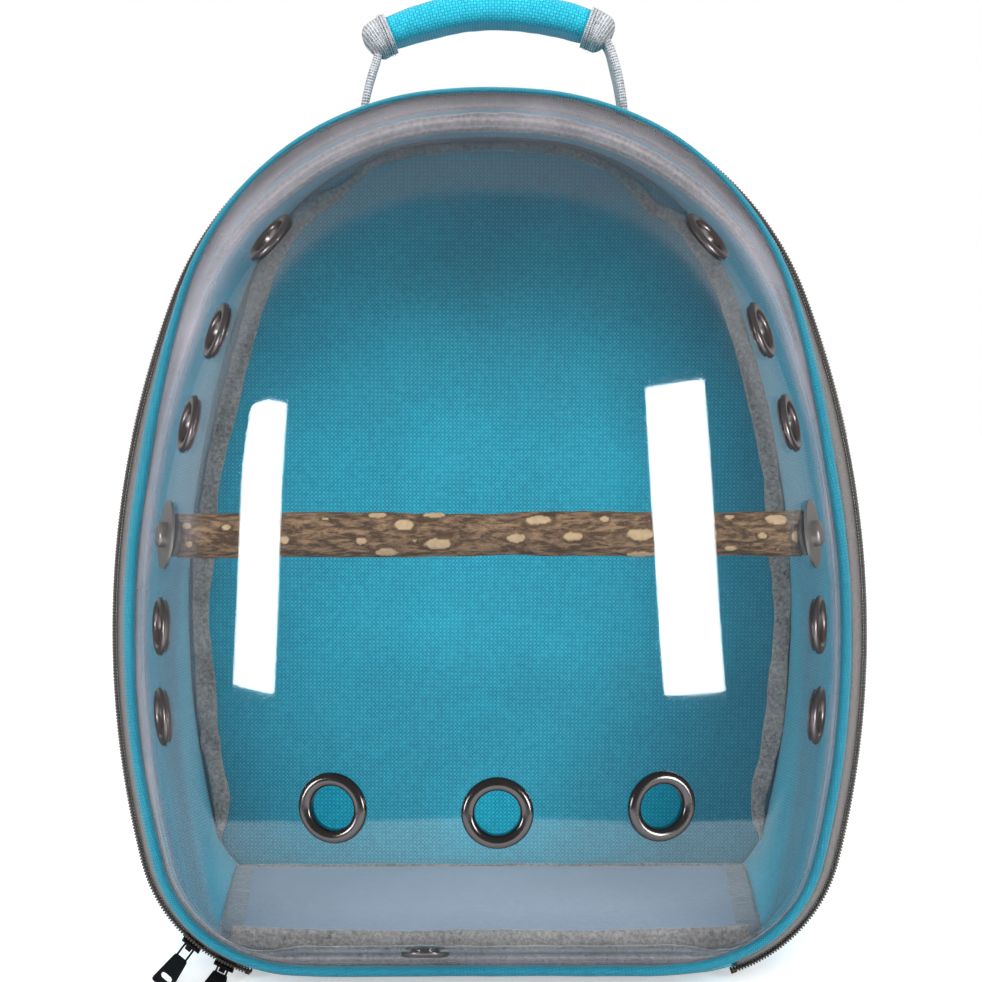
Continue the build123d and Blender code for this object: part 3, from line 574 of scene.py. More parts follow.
def quilt(x, z, share):
    """Level padded rolls with a flat hem about them."""
    rolls = np.abs(np.sin(np.pi * z / QUILT_PITCH)) ** 0.6
    inside = 1 - smoothstep(share, 0.86, 0.9)
    return 2.6 * (0.1 + 0.9 * rolls) * inside + 0.6 * (1 - inside) + 0.15 * ripple(x / 20, z / 20, 21)


def make_back():
    """The lining of the back, the padded outer back, and the cord sewn round the outer edge."""
    shares = np.concatenate([np.linspace(1, 0.8, 14), np.linspace(0.78, 0.03, 34)])
    grid = disc_rows(LINING_INSET - 1, BACK_Y, shares, pucker)
    lining = make_piece("back_lining", grid, flip=True, caps=LAST_END)
    wall = lining.modifiers.new("wall", "SOLIDIFY")
    wall.thickness, wall.offset = 1.2 * MM, -1.0
    dress(lining, "rear_body", "teal_fabric", teal_lining, "back_panel")

    hem_y = BACK_Y + 2.1
    shares = np.concatenate([[1.0], np.linspace(0.985, 0.03, 90)])
    grid = np.concatenate([disc_rows(SHELL_INSET, hem_y, [0.03]), disc_rows(SHELL_INSET, hem_y, [1.0]),
                           disc_rows(SHELL_INSET + 0.4, BACK_Y + 5.2, [1.0]),
                           disc_rows(SHELL_INSET + 2, BACK_Y + 5.0, shares, quilt)])
    cover = make_piece("back_quilt", grid, flip=True)
    dress(cover, "rear_body", "teal_fabric", teal_panel, "back_cover")

    a = full_turn(10)[:, None]
    loop, out, length = arch(BACK_RADII)
    flat = loop - out * (CORD_INSET + CORD_RADIUS * np.cos(a))[..., None]
    cord = at(flat[..., 0], CORD_Y + CORD_RADIUS * np.sin(a), flat[..., 1])
    piping = make_piece("back_piping", cord, length, np.arange(11) * 1.4, ring=True)
    dress(piping, "rear_body", "teal_fabric", teal_piping)


def soft_band(name, y_middle, inset_middle, depth, width, seed, tapered=True, wander=0.0, squeeze=0.25,
              ridge=0.0, shape=None):
    """A sewn binding: a rounded strip carried round the arch whose width and place wander like gathered tape.

    depth is along Y and width across the arch's normal; both pulse with a ripple. ridge raises the middle of its
    front. shape(x, z) gives a sideways shift and a width factor along the arch.
    """
    finer = 3
    profile = rounded_rectangle(depth, width, min(depth, width) * 0.45)[::-1]
    loop, _, length = arch(FRONT_RADII, finer)
    s = length[:-1]
    shift, narrow = (0.0, 1.0) if shape is None else shape(*loop[0].T)
    pulse = (1 - squeeze * (0.5 + 0.5 * ripple_along(s / 5.0, seed, 9))) * narrow
    gather = 0.3 * ripple_along(s / 1.3, seed + 2, 9)
    front, across = profile[:, :1], profile[:, 1:]
    inset = inset_middle + wander * ripple_along(s / 16.0, seed + 1) + shift
    inset = inset + across * pulse + gather * np.sign(across) * 0.7
    raised = (front < 0) * (1 - (2 * across / width) ** 2) * (ridge + 1.1 * np.abs(gather))
    grid, length = band(y_middle + front * (0.82 + 0.18 * pulse) - raised, inset, tapered, finer)
    return make_piece(name, grid, length, girth(profile), ring=True)


def gathered(x, z):
    """The back binding: pulled in at two shoulders, thin over the top and sunk in the seam beside the floor."""
    left = np.exp(-((x + 95) ** 2 + (z - 392) ** 2) / 260.0)
    right = np.exp(-((x - 106) ** 2 + (z - 378) ** 2) / 260.0)
    top = smoothstep(z, 372, 402) * (np.abs(x) < 120)
    slack = smoothstep(x, 60, 120) * (z < 372)
    sunk = 1 - smoothstep(z, 36, 72)
    shift = 4.5 * left + 4.0 * right - 2.6 * top - 2.0 * slack - 7.5 * sunk
    return shift, (1 - 0.25 * left - 0.35 * right - 0.5 * top) * (1 - 0.9 * sunk)


def slim_sides(x, z):
    """The cover's binding is full over the top and under the front, and slim down the sides."""
    side = (1 - smoothstep(z, 320, 396)) * smoothstep(np.abs(x), 84, 125)
    return -2.9 * side, 1 - 0.75 * side


def make_bindings():
    back = soft_band("back_arch_binding", BACK_Y - 3.3, 13.4, 3.0, 11.6, 31, wander=1.8, squeeze=0.3, ridge=0.5,
                     shape=gathered)
    dress(back, "rear_body", "grey_binding", binding_cloth, "back_binding")
    rim = soft_band("rim_edge_binding", ZIP_Y + ZIP_GAP + 4.0, 7.3, 7.6, 2.4, 41, squeeze=0.2)
    dress(rim, "rear_body", "grey_binding", binding_cloth, "rim_binding")
    cover = soft_band("cover_edge_binding", PIPING_Y + 3.8, 16.2, 4.2, 8.6, 51, tapered=False, squeeze=0.16,
                      shape=slim_sides)
    dress(cover, "front_cover", "grey_binding", ribbed_binding, "cover_binding")


# ------------------------------------------------------------------ zip
TOOTH_PITCH, TOOTH_INSET, TOOTH_HIGH, TOOTH_SIDES = 1.5, 1.05, 0.95, 6


def by_hinge(x, z, reach=ZIP_END_X):
    """True at the bottom of the arch, where the fabric hinge takes the place of the zip."""
    return (np.abs(x) < reach) & (z < FRONT_RADII[0])


def strip(name, y, inset, tapered=False, hinge=False):
    """A strip along the zip, or along the hinge; its section is a closed row of (y, inset) points."""
    grid, length = band(y, inset, tapered)
    hinged = by_hinge(grid[0, :, 0], grid[0, :, 2])
    run, place = np.nonzero(~hinged)[0], length[:-1]
    if hinge:
        # the loop starts in the middle of the base, so the hinge runs from its last points into its first ones
        run = np.nonzero(hinged)[0]
        run = np.roll(run, np.count_nonzero(run >= len(hinged) // 2))
        place = np.where(np.arange(len(hinged)) < len(hinged) // 2, place, place - length[-1])
    return make_piece(name, grid[:, run].transpose(1, 0, 2), girth(at(y, inset)), place[run])


def teeth(name, y_near, y_far, shift):
    """Coil turns: a small six-sided bar across the zip at each pitch round the arch, as one mesh."""
    loop, out, length = arch(FRONT_RADII, 8)
    zipped = (~by_hinge(*loop[0].T, reach=ZIP_END_X + 1)).astype(float)
    s = np.arange(0, length[-1], TOOTH_PITCH) + shift
    s = s[np.interp(s, length, np.append(zipped, zipped[0])) > 0.5]
    px, pz, nx, nz = (np.interp(s, length, np.append(values, values[0]))[:, None]
                      for values in np.concatenate([loop[0].T, out[0].T]))
    a = full_turn(TOOTH_SIDES)
    across, inwards = TOOTH_PITCH * 0.38 * np.cos(a), TOOTH_INSET - TOOTH_HIGH * np.sin(a)
    x, z = px - nx * inwards - nz * across, pz - nz * inwards + nx * across
    points = at(x[:, None], np.array([y_near, y_far])[:, None], z[:, None]).reshape(-1, 3)
    k = np.arange(TOOTH_SIDES)
    after = np.roll(k, -1)
    first = (2 * TOOTH_SIDES * np.arange(len(s)))[:, None, None]
    sides = (first + at(k, after, after + TOOTH_SIDES, k + TOOTH_SIDES)).reshape(-1, 4).tolist()
    ends = (first + [k[::-1], k + TOOTH_SIDES]).reshape(-1, TOOTH_SIDES).tolist()
    piece = new_object(name, points * MM, sides + ends)
    piece.data.uv_layers.new(name="cloth")
    piece.data.polygons.foreach_set("use_smooth", [True] * len(sides) + [False] * len(ends))
    return piece


def make_zip():
    rear, front, behind_flange = ZIP_Y + ZIP_GAP, ZIP_Y - ZIP_GAP, PIPING_Y + FLANGE_THICK + 0.2
    tape = strip("rear_tape", [rear, rear + 12, rear + 12, rear], [2.0, 2.0, 2.95, 2.95], tapered=True)
    dress(tape, "rear_body", "zip_tape", tape_cloth, "rear_zip_tape")
    tape = strip("cover_tape", [behind_flange, front, front, behind_flange],
                 [PIPING_INSET, 2.0, 3.0, PIPING_INSET + 1.0])
    dress(tape, "front_cover", "zip_tape", tape_cloth, "cover_zip_tape")
    coil = teeth("rear_coil", rear - 0.1, rear + 1.9, 0.0)
    dress(coil, "rear_body", "zip_coil", coil_plastic, "rear_zip_coil")
    coil = teeth("cover_coil", front - 1.9, front + 0.1, TOOTH_PITCH / 2)
    dress(coil, "front_cover", "zip_coil", coil_plastic, "cover_zip_coil")
    hinge = strip("hinge_cloth", [PIPING_Y, front, front, PIPING_Y],
                  [PIPING_INSET, 3.0, 4.5, PIPING_INSET + 1.5], hinge=True)
    dress(hinge, "front_cover", "teal_fabric", teal_cloth, "hinge_strip")


def crown_share(loop):
    """0 on the walls and 1 over the top of the arch, by height."""
    return smoothstep(loop[:, 1], 230.0, 395.0)


def make_piping():
    """The teal edge: two lobes with a stitched groove between, their section carried round the arch."""
    section = np.array(((-71.0, 5.0), (-73.6, 5.3), (-76.0, 5.9), (-77.8, 6.7), (-78.9, 7.7), (-79.6, 8.2),
                        (-80.6, 7.8), (-82.0, 8.0), (-83.2, 8.9), (-83.8, 10.1), (-83.5, 11.3), (-82.4, 12.1),
                        (-80.8, 12.4), (-79.1, 12.2), (-79.1, 10.2), (-76.4, 8.6), (-73.0, 6.7), (-71.2, 5.9)))
    loop, _, length = arch(FRONT_RADII, 2)
    x = loop[0, :, 0]
    inset = section[:, 1:] + 0.16 * ripple(length[:-1] / 7, section[:, 1:] / 3, 45)
    # down the sides it sits further in and bares the zip, more on the right
    inset = inset + (1.5 + 1.7 * smoothstep(x, -40, 90)) * smoothstep(np.abs(x), 70, 125)
    # towards the crown the piping narrows and rolls out over the zip
    inset = inset + (0.4 + 0.5 * (inset - 5.0) - inset) * crown_share(loop[0])
    grid, length = band(section[:, 0], inset, False, 2)
    piece = make_piece("cover_piping_cloth", grid, length, girth(section), flip=True, ring=True)
    dress(piece, "front_cover", "teal_fabric", teal_piping, "cover_piping")


# ------------------------------------------------------------------ clear dome
FACE_AXIS_Y = DOME_FRONT_Y + DOME_FACE_RADIUS
CUTTER_SIDES, CUTTER_REACH = 40, 6
# rings: radius of the hole and of the rim, and the height of the roll
WALL_RING, FACE_RING, DRAIN_RING = (7.8, 12.5, 1.7), (8.8, 14.0, 2.4), (5.0, 10.0, 1.6)


def dome_rows(skin):
    """One skin of the dome, from its flange to the middle of its face.

    The wall leans in by the draft; the face is an upright cylinder; between them a ball rolls whose centre runs
    where both, moved in by its radius, meet. skin moves the whole surface in.
    """
    loop, out = (row[0] for row in arch(FRONT_RADII)[:2])
    ball, reach = DOME_EDGE_ROUND, DOME_FACE_RADIUS - DOME_EDGE_ROUND
    deep = np.full(len(loop), 70.0)
    for _ in range(40):
        flat = loop - out * (DOME_INSET + deep * DOME_SLOPE + ball / DOME_LEAN)[:, None]
        y = FACE_AXIS_Y - np.sqrt(reach**2 - flat[:, 0] ** 2)
        deep = 0.5 * (deep + PIPING_Y - y)
    centre = at(flat[:, 0], y, flat[:, 1])
    wall_out = at(out[:, 0] * DOME_LEAN, -DOME_DIP, out[:, 1] * DOME_LEAN)
    face_out = at(flat[:, 0] / reach, -np.sqrt(1 - (flat[:, 0] / reach) ** 2), 0.0)
    foot = loop - out * (DOME_INSET + skin / DOME_LEAN)
    foot = at(foot[:, 0], PIPING_Y, foot[:, 1])
    top = centre + (ball - skin) * wall_out
    rows = [foot + (top - foot) * t for t in np.linspace(0, 1, 16)]
    angle = np.arccos(np.clip((wall_out * face_out).sum(1), -1, 1))[:, None]
    for t in np.linspace(0, 1, 15)[1:]:
        direction = (np.sin((1 - t) * angle) * wall_out + np.sin(t * angle) * face_out) / np.sin(angle)
        rows.append(centre + (ball - skin) * direction)
    face, middle_z = rows[-1], 200.0
    for t in np.linspace(1, 0.02, 26)[1:]:
        x, z = face[:, 0] * t, middle_z + (face[:, 2] - middle_z) * t
        rows.append(at(x, FACE_AXIS_Y - np.sqrt((DOME_FACE_RADIUS - skin) ** 2 - x**2), z))
    return np.array(rows)


def hole_places():
    """Middle, outward direction and radius of every hole in the dome, on the wall or on the face."""
    loop, out, _ = arch(FRONT_RADII, 8)
    half = loop.shape[1] // 2
    flat, out = (loop - out * (DOME_INSET + SIDE_SETBACK * DOME_SLOPE))[0, :half], out[0, :half]
    places = []
    for height, radius in [(h, SIDE_HOLE) for h in SIDE_HEIGHTS] + [(PERCH_Z, SCREW_HOLE)]:
        x, nx, nz = (np.interp(height, flat[:, 1], values) for values in (flat[:, 0], *out.T))
        for side in (-1, 1):
            places.append(((side * x, PIPING_Y - SIDE_SETBACK, height),
                           (side * nx * DOME_LEAN, -DOME_DIP, nz * DOME_LEAN), radius))
    for x in FRONT_HOLE_X:
        depth = math.sqrt(DOME_FACE_RADIUS**2 - x * x)
        places.append(((x, FACE_AXIS_Y - depth, FRONT_HOLE_Z),
                       (x / DOME_FACE_RADIUS, -depth / DOME_FACE_RADIUS, 0.0), FRONT_HOLE))
    places.append(((DRAIN_X, PIPING_Y - DRAIN_SETBACK, DOME_INSET - SHELL_INSET + DRAIN_SETBACK * DOME_SLOPE),
                   (0.0, -DOME_DIP, -DOME_LEAN), DRAIN_HOLE))
    return places


def cutters(places):
    """One mesh of short cylinders, each along its hole's direction."""
    points, faces = [], []
    k = np.arange(CUTTER_SIDES)
    after = np.roll(k, -1)
    for middle, direction, radius in places:
        d, ring = spokes(direction, full_turn(CUTTER_SIDES))
        near = len(points) * CUTTER_SIDES + k
        far = near + CUTTER_SIDES
        points += [np.array(middle) + radius * ring + step * d for step in (-CUTTER_REACH, CUTTER_REACH)]
        faces += at(near, near[after], far[after], far).tolist() + [near[::-1].tolist(), far.tolist()]
    return new_object("cutters", np.concatenate(points) * MM, faces)


def make_dome():
    """Both skins joined over the flange, which narrows over the crown, and all the holes cut through."""
    loop, out, _ = arch(FRONT_RADII)

    def ring(y, inset):
        flat = loop[0] - out[0] * inset
        return at(flat[:, 0], y, flat[:, 1])[None]

    reach, back = (FLANGE_INSET - 7.2 * crown_share(loop[0]))[:, None], PIPING_Y + FLANGE_THICK
    grid = np.concatenate([dome_rows(0.0)[::-1], ring(PIPING_Y, reach), ring(back, reach),
                           ring(back, DOME_INSET + DOME_WALL / DOME_LEAN), dome_rows(DOME_WALL)])
    dome = make_piece("clear_cover", grid, flip=True)
    tool = cutters(hole_places())
    cut = dome.modifiers.new("holes", "BOOLEAN")
    cut.object, cut.solver = tool, "EXACT"
    apply_modifiers(dome)
    bpy.data.objects.remove(tool)
    dome.data.polygons.foreach_set("use_smooth", [True] * len(dome.data.polygons))
    dome.data.set_sharp_from_angle(angle=math.radians(50))
    dress(dome, "front_cover", "clear_plastic", clear_plastic, "clear_dome")


def rolled_eyelet(middle, direction, hole, outer, crown):
    """A pressed ring: up the barrel, over a half-round roll to the rim, and back along its washer."""
    a = np.linspace(math.pi, 0, 17)
    half = (outer - hole) / 2
    roll = at(hole + half + half * np.cos(a), -0.25 + (crown + 0.25) * np.sin(a) ** 0.75)
    back = ((outer - 0.4, -0.45), (hole + 1.0, -0.3), (hole + 1.0, -1.75), (outer - 1.6, -1.75),
            (outer - 1.3, -2.1), (outer - 1.8, -2.5), (hole + 1.2, -2.6), (hole + 0.3, -2.9), (hole, -2.4))
    profile = np.concatenate([roll, back])
    d, spoke = spokes(direction, full_turn(64))
    grid = np.array(middle) + profile[:, :1] * spoke[:, None] + profile[:, 1:] * d
    return make_piece("ring", grid, flip=True, ring=True)


def make_eyelets():
    """Eyelets on the side walls, on the face and under the front, each group one piece."""
    side = [p for p in hole_places() if p[2] == SIDE_HOLE]
    groups = (("left", [p for p in side if p[0][0] < 0], WALL_RING, painted_sheen_nickel),
              ("right", [p for p in side if p[0][0] > 0], WALL_RING, painted_sheen_nickel),
              ("front", [p for p in hole_places() if p[2] == FRONT_HOLE], FACE_RING, gunmetal),
              ("drain", [p for p in hole_places() if p[2] == DRAIN_HOLE], DRAIN_RING, painted_sheen_nickel))
    for label, group, sizes, finish in groups:
        rings = merge([rolled_eyelet(m, d, *sizes) for m, d, _ in group], f"{label}_rolled_eyelets")
        dress(rings, "front_cover", "eyelet_metal", finish, f"{label}_eyelets", f"{label}_eyelet_washers")


# ------------------------------------------------------------------ perch
# along the branch, height angle on its front, length, height
KNOTS = ((-129.2, 28, 5.6, 3.3), (-128.2, -16, 4.6, 3.2), (-110, 24, 4.3, 2.7), (-86.1, -6, 4.7, 3.8),
         (-68.8, 47, 3.3, 1.8), (-53.7, -10, 4.7, 3.3), (-43.2, -42, 9.9, 5.4), (-35.6, 30, 9, 5.4),
         (-31.4, -8, 2, 1.5), (-21.5, -18, 12.2, 5.4), (-47.1, 60, 8.5, 4), (-23.1, 62, 10.4, 4),
         (11.1, -4, 9, 4.2), (20.4, 43, 11.3, 5.4), (34.8, 0, 9, 4.2), (48.1, 45, 4.2, 3.4),
         (62.9, 5, 11.8, 5.6), (63.4, -54, 12.2, 5), (71.8, -17, 4.2, 2.4), (100.8, 52, 4.2, 2.8),
         (101.1, -32, 5.6, 2.8), (114.1, 1, 4.2, 2.8), (120.8, 43, 11.3, 5.8), (132.3, 0, 7.5, 5.6),
         (121.1, -34, 2, 1.5), (-95, 120, 9, 4.5), (-15, 150, 8, 4), (40, 130, 10, 5), (95, 160, 8, 4),
         (-60, 190, 9, 4.5), (10, 215, 8, 4), (70, 240, 9, 5), (-100, 230, 8, 4))


def make_perch():
    """A branch: a tube along X whose radius swells in long and short waves and stands up at each knot."""
    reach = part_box("perch_stick")[1][0] / MM - PERCH_RADIUS * DOME_SLOPE
    x = np.linspace(-reach, reach, 620)[:, None]
    a = full_turn(96)[None]
    swell = 0.35 * ripple(x / 26, a * 0, 61) + 0.5 * ripple(x / 7, 2.2 * np.cos(a) + 1.7 * np.sin(a), 62)
    flakes = 0.22 * ripple(x / 2.4, 5 * np.cos(a) + 4 * np.sin(a), 63, 9)
    knot, rim = np.zeros((2, x.size, a.size))
    for kx, lift, length, height in KNOTS:
        da = (a - math.radians(180 - lift) + math.pi) % (2 * math.pi) - math.pi
        far = np.sqrt(((x - kx) / (length / 2)) ** 2 + (da * PERCH_RADIUS / (height / 2)) ** 2)
        far = far + 0.12 * ripple(x * 2, a * 9, int(kx) + 300)
        knot = np.maximum(knot, 1 - smoothstep(far, 0.86, 1.0))
        rim = np.maximum(rim, (1 - smoothstep(far, 1.15, 1.7)) * smoothstep(far, 0.9, 1.02))
    radius = PERCH_RADIUS - 0.7 + (swell + flakes) * (1 - knot) + 0.75 * rim + 0.7 * knot
    y = radius * np.cos(a)
    # the last 12 mm lean, so that the ends lie flat on the walls
    ends = np.clip((np.abs(x) - reach + 12) / 12, 0, 1) * np.sign(x)
    grid = at(x + ends * y * DOME_SLOPE, PERCH_Y + y, PERCH_Z + radius * np.sin(a))
    piece = make_piece("perch_branch", grid, flip=True)
    for label, values in zip(KNOT_LAYERS, (knot, rim)):
        layer = piece.data.attributes.new(label, "FLOAT", "POINT")
        layer.data.foreach_set("value", np.append(values, [0.0, 0.0]).astype(np.float32))
    dress(piece, "front_cover", "bark", bark, "perch_stick")


# ------------------------------------------------------------------ handle
ALONG_X, ALONG_Y, ALONG_Z = (1, 0, 0), (0, 1, 0), (0, 0, 1)
CUFF_START, CUFF_LENGTH, CUFF_STEPS = 0.98, 0.23, 26
LEAD_STEPS, LEG_STEPS, LEG_LOW_Z, PIVOT_ROUND = 11, 40, 400.8, 12.2
# sections: width, height, corner radius and points a corner
GRIP, CUFF, SEAM, LEG = (29.0, 14.2, 6.6, 8), (29.6, 16.4, 6.6, 8), (30.4, 17.0, 6.8, 8), (24.4, 3.7, 1.6, 4)
# x of the leg at its top and at its foot, and how it twists, on the left and on the right
LEGS = {-1: (52.4, 60.0, 0.1), 1: (57.2, 64.0, 0.02)}


def grip_line(t):
    """The grip's middle line: bowed upwards with a slight tilt, its ends at t = -1 and 1."""
    return at(47.0 * t, HANDLE_Y, GRIP_Z + 0.6 - 9.0 * t**2 + 1.4 * t)


def handle_leg(side):
    """Flat webbing that comes out of the grip's end and bends down to the pivot on the shell."""
    top_x, low_x, twist = LEGS[side]
    (start_x, _, start_z), (_, _, end_z) = grip_line(side * np.array([1.08, 1.22]))
    top = np.array([top_x, end_z - 6.0])
    drop = np.linspace(0, 1, LEG_STEPS)
    leg = top + ((low_x, LEG_LOW_Z) - top) * drop[:, None] + at(0.9 * np.sin(math.pi * drop), 0.0)
    out = np.linspace(0, 1, LEAD_STEPS + 1)[:-1]
    start = np.array([abs(start_x), start_z - 1.5])
    lead = start + (top - start) * at(out, out**1.6)
    run = smoothed(np.concatenate([lead, leg]), 4)
    width = 1 - 0.35 * (1 - smoothstep(np.arange(len(run)) / 12.0, 0.6, 2.0))
    # the lower end is round about the pivot, so that it turns clear of the shell
    below = np.clip((HANDLE_PIVOT_Z - run[:, 1]) / PIVOT_ROUND, 0, 0.995)
    width = width * np.sqrt(1 - below**2)
    return tube("leg", at(side * run[:, 0], HANDLE_Y, run[:, 1]), (twist, side, 0),
                rounded_rectangle(*LEG), at(width, 1.0), flip=True)


def handle_cuff(side):
    """Webbing folded round the grip's end, with two rows of stitches about it."""
    along = np.linspace(0, 1, CUFF_STEPS)
    shape = np.sqrt(np.clip(1 - (np.clip(along - 0.62, 0, 1) / 0.4) ** 2.4, 0.05, 1)) * (1 - 0.1 * along)
    shape = shape * (1 + 0.025 * ripple_along(along * 14, 75 + side)) * smoothstep(along + 0.06, 0, 0.05)
    path = grip_line(side * (CUFF_START + CUFF_LENGTH * along))
    path[:, 2] -= 2.2 * along**2
    parts = [tube("cuff", path, (0, side, 0), rounded_rectangle(*CUFF), at(shape * 0.99, shape),
                  flip=True)]
    for place in (0.16, 0.26):
        seam = grip_line(side * (CUFF_START + CUFF_LENGTH * place + np.array([-0.004, 0.004])))
        parts.append(tube("seam", seam, (0, side, 0), rounded_rectangle(*SEAM), flip=True))
    return parts


def make_handle():
    """A stuffed grip, webbing folded round its ends and two flat legs down to the shell."""
    t = np.linspace(-1, 1, 90)
    path = grip_line(t)
    profile = rounded_rectangle(*GRIP)
    full = 1 - 0.1 * np.abs(t) ** 8 + 0.02 * ripple_along(t * 9, 71)
    grid = sweep(path, ALONG_Y, profile, at(0.97 * full, full))
    wrinkle = 0.3 * ripple(t[:, None] * 20, np.arange(len(profile)) / 3.0, 72)
    grid[..., 2] += wrinkle * np.sign(grid[..., 2] - path[:, None, 2])
    grip = make_piece("grip_cloth", grid, girth(profile), t * 48, flip=True)
    dress(grip, "carry_handle", "teal_fabric", teal_cloth, "handle_grip")
    webbing = merge([part for side in (-1, 1) for part in (handle_leg(side), *handle_cuff(side))],
                    "handle_straps")
    dress(webbing, "carry_handle", "grey_webbing", webbing_cloth, "handle_webbing")
    webbing.visible_glossy = grip.visible_glossy = False


# ------------------------------------------------------------------ floor pad
PAD_FRONT, PAD_BACK, PAD_EDGE_Z, PAD_ROWS = -55.6, 60.2, 12.6, 60
EDGE_TAPE, FOLD, FRONT_ROLL = (4.6, 4.4, 2.0, 4), (11.5, 2.0, 0.9, 4), (6.3, 12.6, 3.0, 6)


def half_width_at(y, z):
    """Half the room inside the walls at y and height z, from the corner arc."""
    loop, out, _ = arch(taper(y), 2)
    corner = loop.shape[1] // 3
    room = (loop - out * (LINING_INSET + 2.3))[:, :corner]
    return np.array([np.interp(z, row[:, 1], row[:, 0]) for row in room])


def make_cushion(y, half):
    """A thin stuffed pad: its plan follows the walls, its top is crowned and dips along the bound edges."""
    t = np.linspace(-1, 1, 120)
    x, y = np.broadcast_arrays(half[:, None] * t, y[:, None])
    edge = np.minimum((1 - np.abs(t)) * half[:, None], PAD_BACK - y)
    edge = np.minimum(edge, y - PAD_FRONT + 6)
    full = 1 - np.exp(-edge / 7.0)
    top = 10.6 + 7.4 * full + 0.35 * ripple(x / 30, y / 26, 81) * full
    low = 6.1 + 2.2 * np.exp(-edge / 4.0)
    grid = np.concatenate([at(x, y, top), at(x, y, low)[:, ::-1]], 1)
    pad = make_piece("floor_cushion", grid, np.concatenate([t * 130, 265 + t * 130, [530]]), y[:, 0])
    dress(pad, "floor_pad", "pad_fabric", pad_cloth, "floor_pad")


def make_pad_edge(y, half):
    """The tape bound round the sides and the back of the pad."""
    sides = at(half, y, PAD_EDGE_Z)
    back = at(half[-1] * np.linspace(1, -1, PAD_ROWS)[1:-1], PAD_BACK - 0.2, PAD_EDGE_Z)
    path = smoothed(np.concatenate([sides, back, sides[::-1] * (-1, 1, 1)]), 3)
    run = lengths(path)
    tape = rounded_rectangle(*EDGE_TAPE)
    grid = sweep(path, ALONG_Z, tape, 1 + 0.14 * ripple_along(run / 6, 82))
    grid[..., 1] = np.minimum(grid[..., 1], PAD_BACK + 0.4)
    edge = make_piece("cushion_edge_tape", grid, girth(tape), run)
    dress(edge, "floor_pad", "grey_binding", binding_cloth)


def make_pad_folds(y, half):
    """The pad's cloth folded over along its two sides."""
    height = 15.6 - 1.6 * np.abs(np.linspace(-1, 1, PAD_ROWS)) ** 6
    folds = merge([tube("fold", at(side * (half - 6.2), -55 + (y - PAD_FRONT) * 0.965, height), ALONG_X,
                        rounded_rectangle(*FOLD), 1 + 0.08 * ripple_along(y / 9, 85 + side), flip=True)
                   for side in (-1, 1)], "cushion_side_folds")
    dress(folds, "floor_pad", "pad_fabric", pad_fold_cloth)


def make_pad_front():
    """The front's rolled binding, slimmer and higher towards its ends."""
    t = np.linspace(-1, 1, 240)
    far = np.abs(t)
    half_front = half_width_at([-59.0], 14.0)[0] - 1.5
    path = at(t * half_front, -59.2 + 1.0 * far**8, PAD_EDGE_Z + 4.2 * far**4)
    roll = rounded_rectangle(*FRONT_ROLL)
    grid = sweep(path, ALONG_Y, roll, (1 + 0.06 * ripple_along(t * 16, 83)) * (1 - 0.3 * far**4))
    grid[..., 2] += 0.35 * ripple(t[:, None] * 60, np.arange(len(roll)) / 4.0, 84, 9)
    front = make_piece("cushion_front_roll", grid, girth(roll), path[:, 0], flip=True)
    dress(front, "floor_pad", "grey_binding", binding_cloth, "pad_front_binding")


def make_floor_pad():
    y = np.linspace(PAD_FRONT, PAD_BACK, PAD_ROWS)
    half = half_width_at(y, 14.0) + 4.0
    make_cushion(y, half)
    make_pad_edge(y, half)
    make_pad_folds(y, half)
    make_pad_front()


# ------------------------------------------------------------------ harness
STRAP_X, STRAP_HALF, STRAP_STEPS = 62.0, 26.5, 90
STRAP_TAPE, TAIL = (3.4, 4.6, 1.5, 3), (24.8, 1.5, 0.7, 3)
TAIL_X, TAIL_TOP, TAIL_DROP = 84.0, 94.5, 56.5
HARNESS_Y = BACK_Y + 7.0
# the strap's middle line at its top, its furthest bow and its foot, as (y, z)
STRAP_BOW = (HARNESS_Y + 7.5, 360.0), (HARNESS_Y + 27.5, 235.0), (HARNESS_Y + 5.5, 125.0)


def arc_through(a, b, c, steps):
    """Points on the circle through three points of a plane, from the first to the last."""
    a, b, c = (complex(*point) for point in (a, b, c))
    w = (c - a) / (b - a)
    centre = a - (a - b) * (w - abs(w) ** 2) / (2j * w.imag)
    turns = np.linspace(np.angle(a - centre), np.angle(c - centre), steps)
    points = centre + abs(a - centre) * np.exp(1j * turns)
    return at(points.real, points.imag)


def strap_profiles(t, side):
    """The strap's section at each step: stuffed between its edges, with a stitched channel near each of them."""
    u = np.linspace(-1, 1, 31)
    swell = (1 - np.abs(u) ** 3.2) * (1 - np.abs(2 * t - 1) ** 14)[:, None]
    channel = 1 - 0.35 * np.exp(-((np.abs(u) - 0.62) / 0.05) ** 2)
    thick = 1.2 + 3.3 * swell * channel + 0.12 * ripple(t[:, None] * 40, u * 5, 91 + side)
    across = u * (STRAP_HALF + 0.5 * ripple_along(t * 14, 95))[:, None]
    profiles = np.concatenate([at(across, thick), at(across, -thick)[:, ::-1]], 1)
    return profiles, np.concatenate([u * 26, 56 + u * 26, [110]])


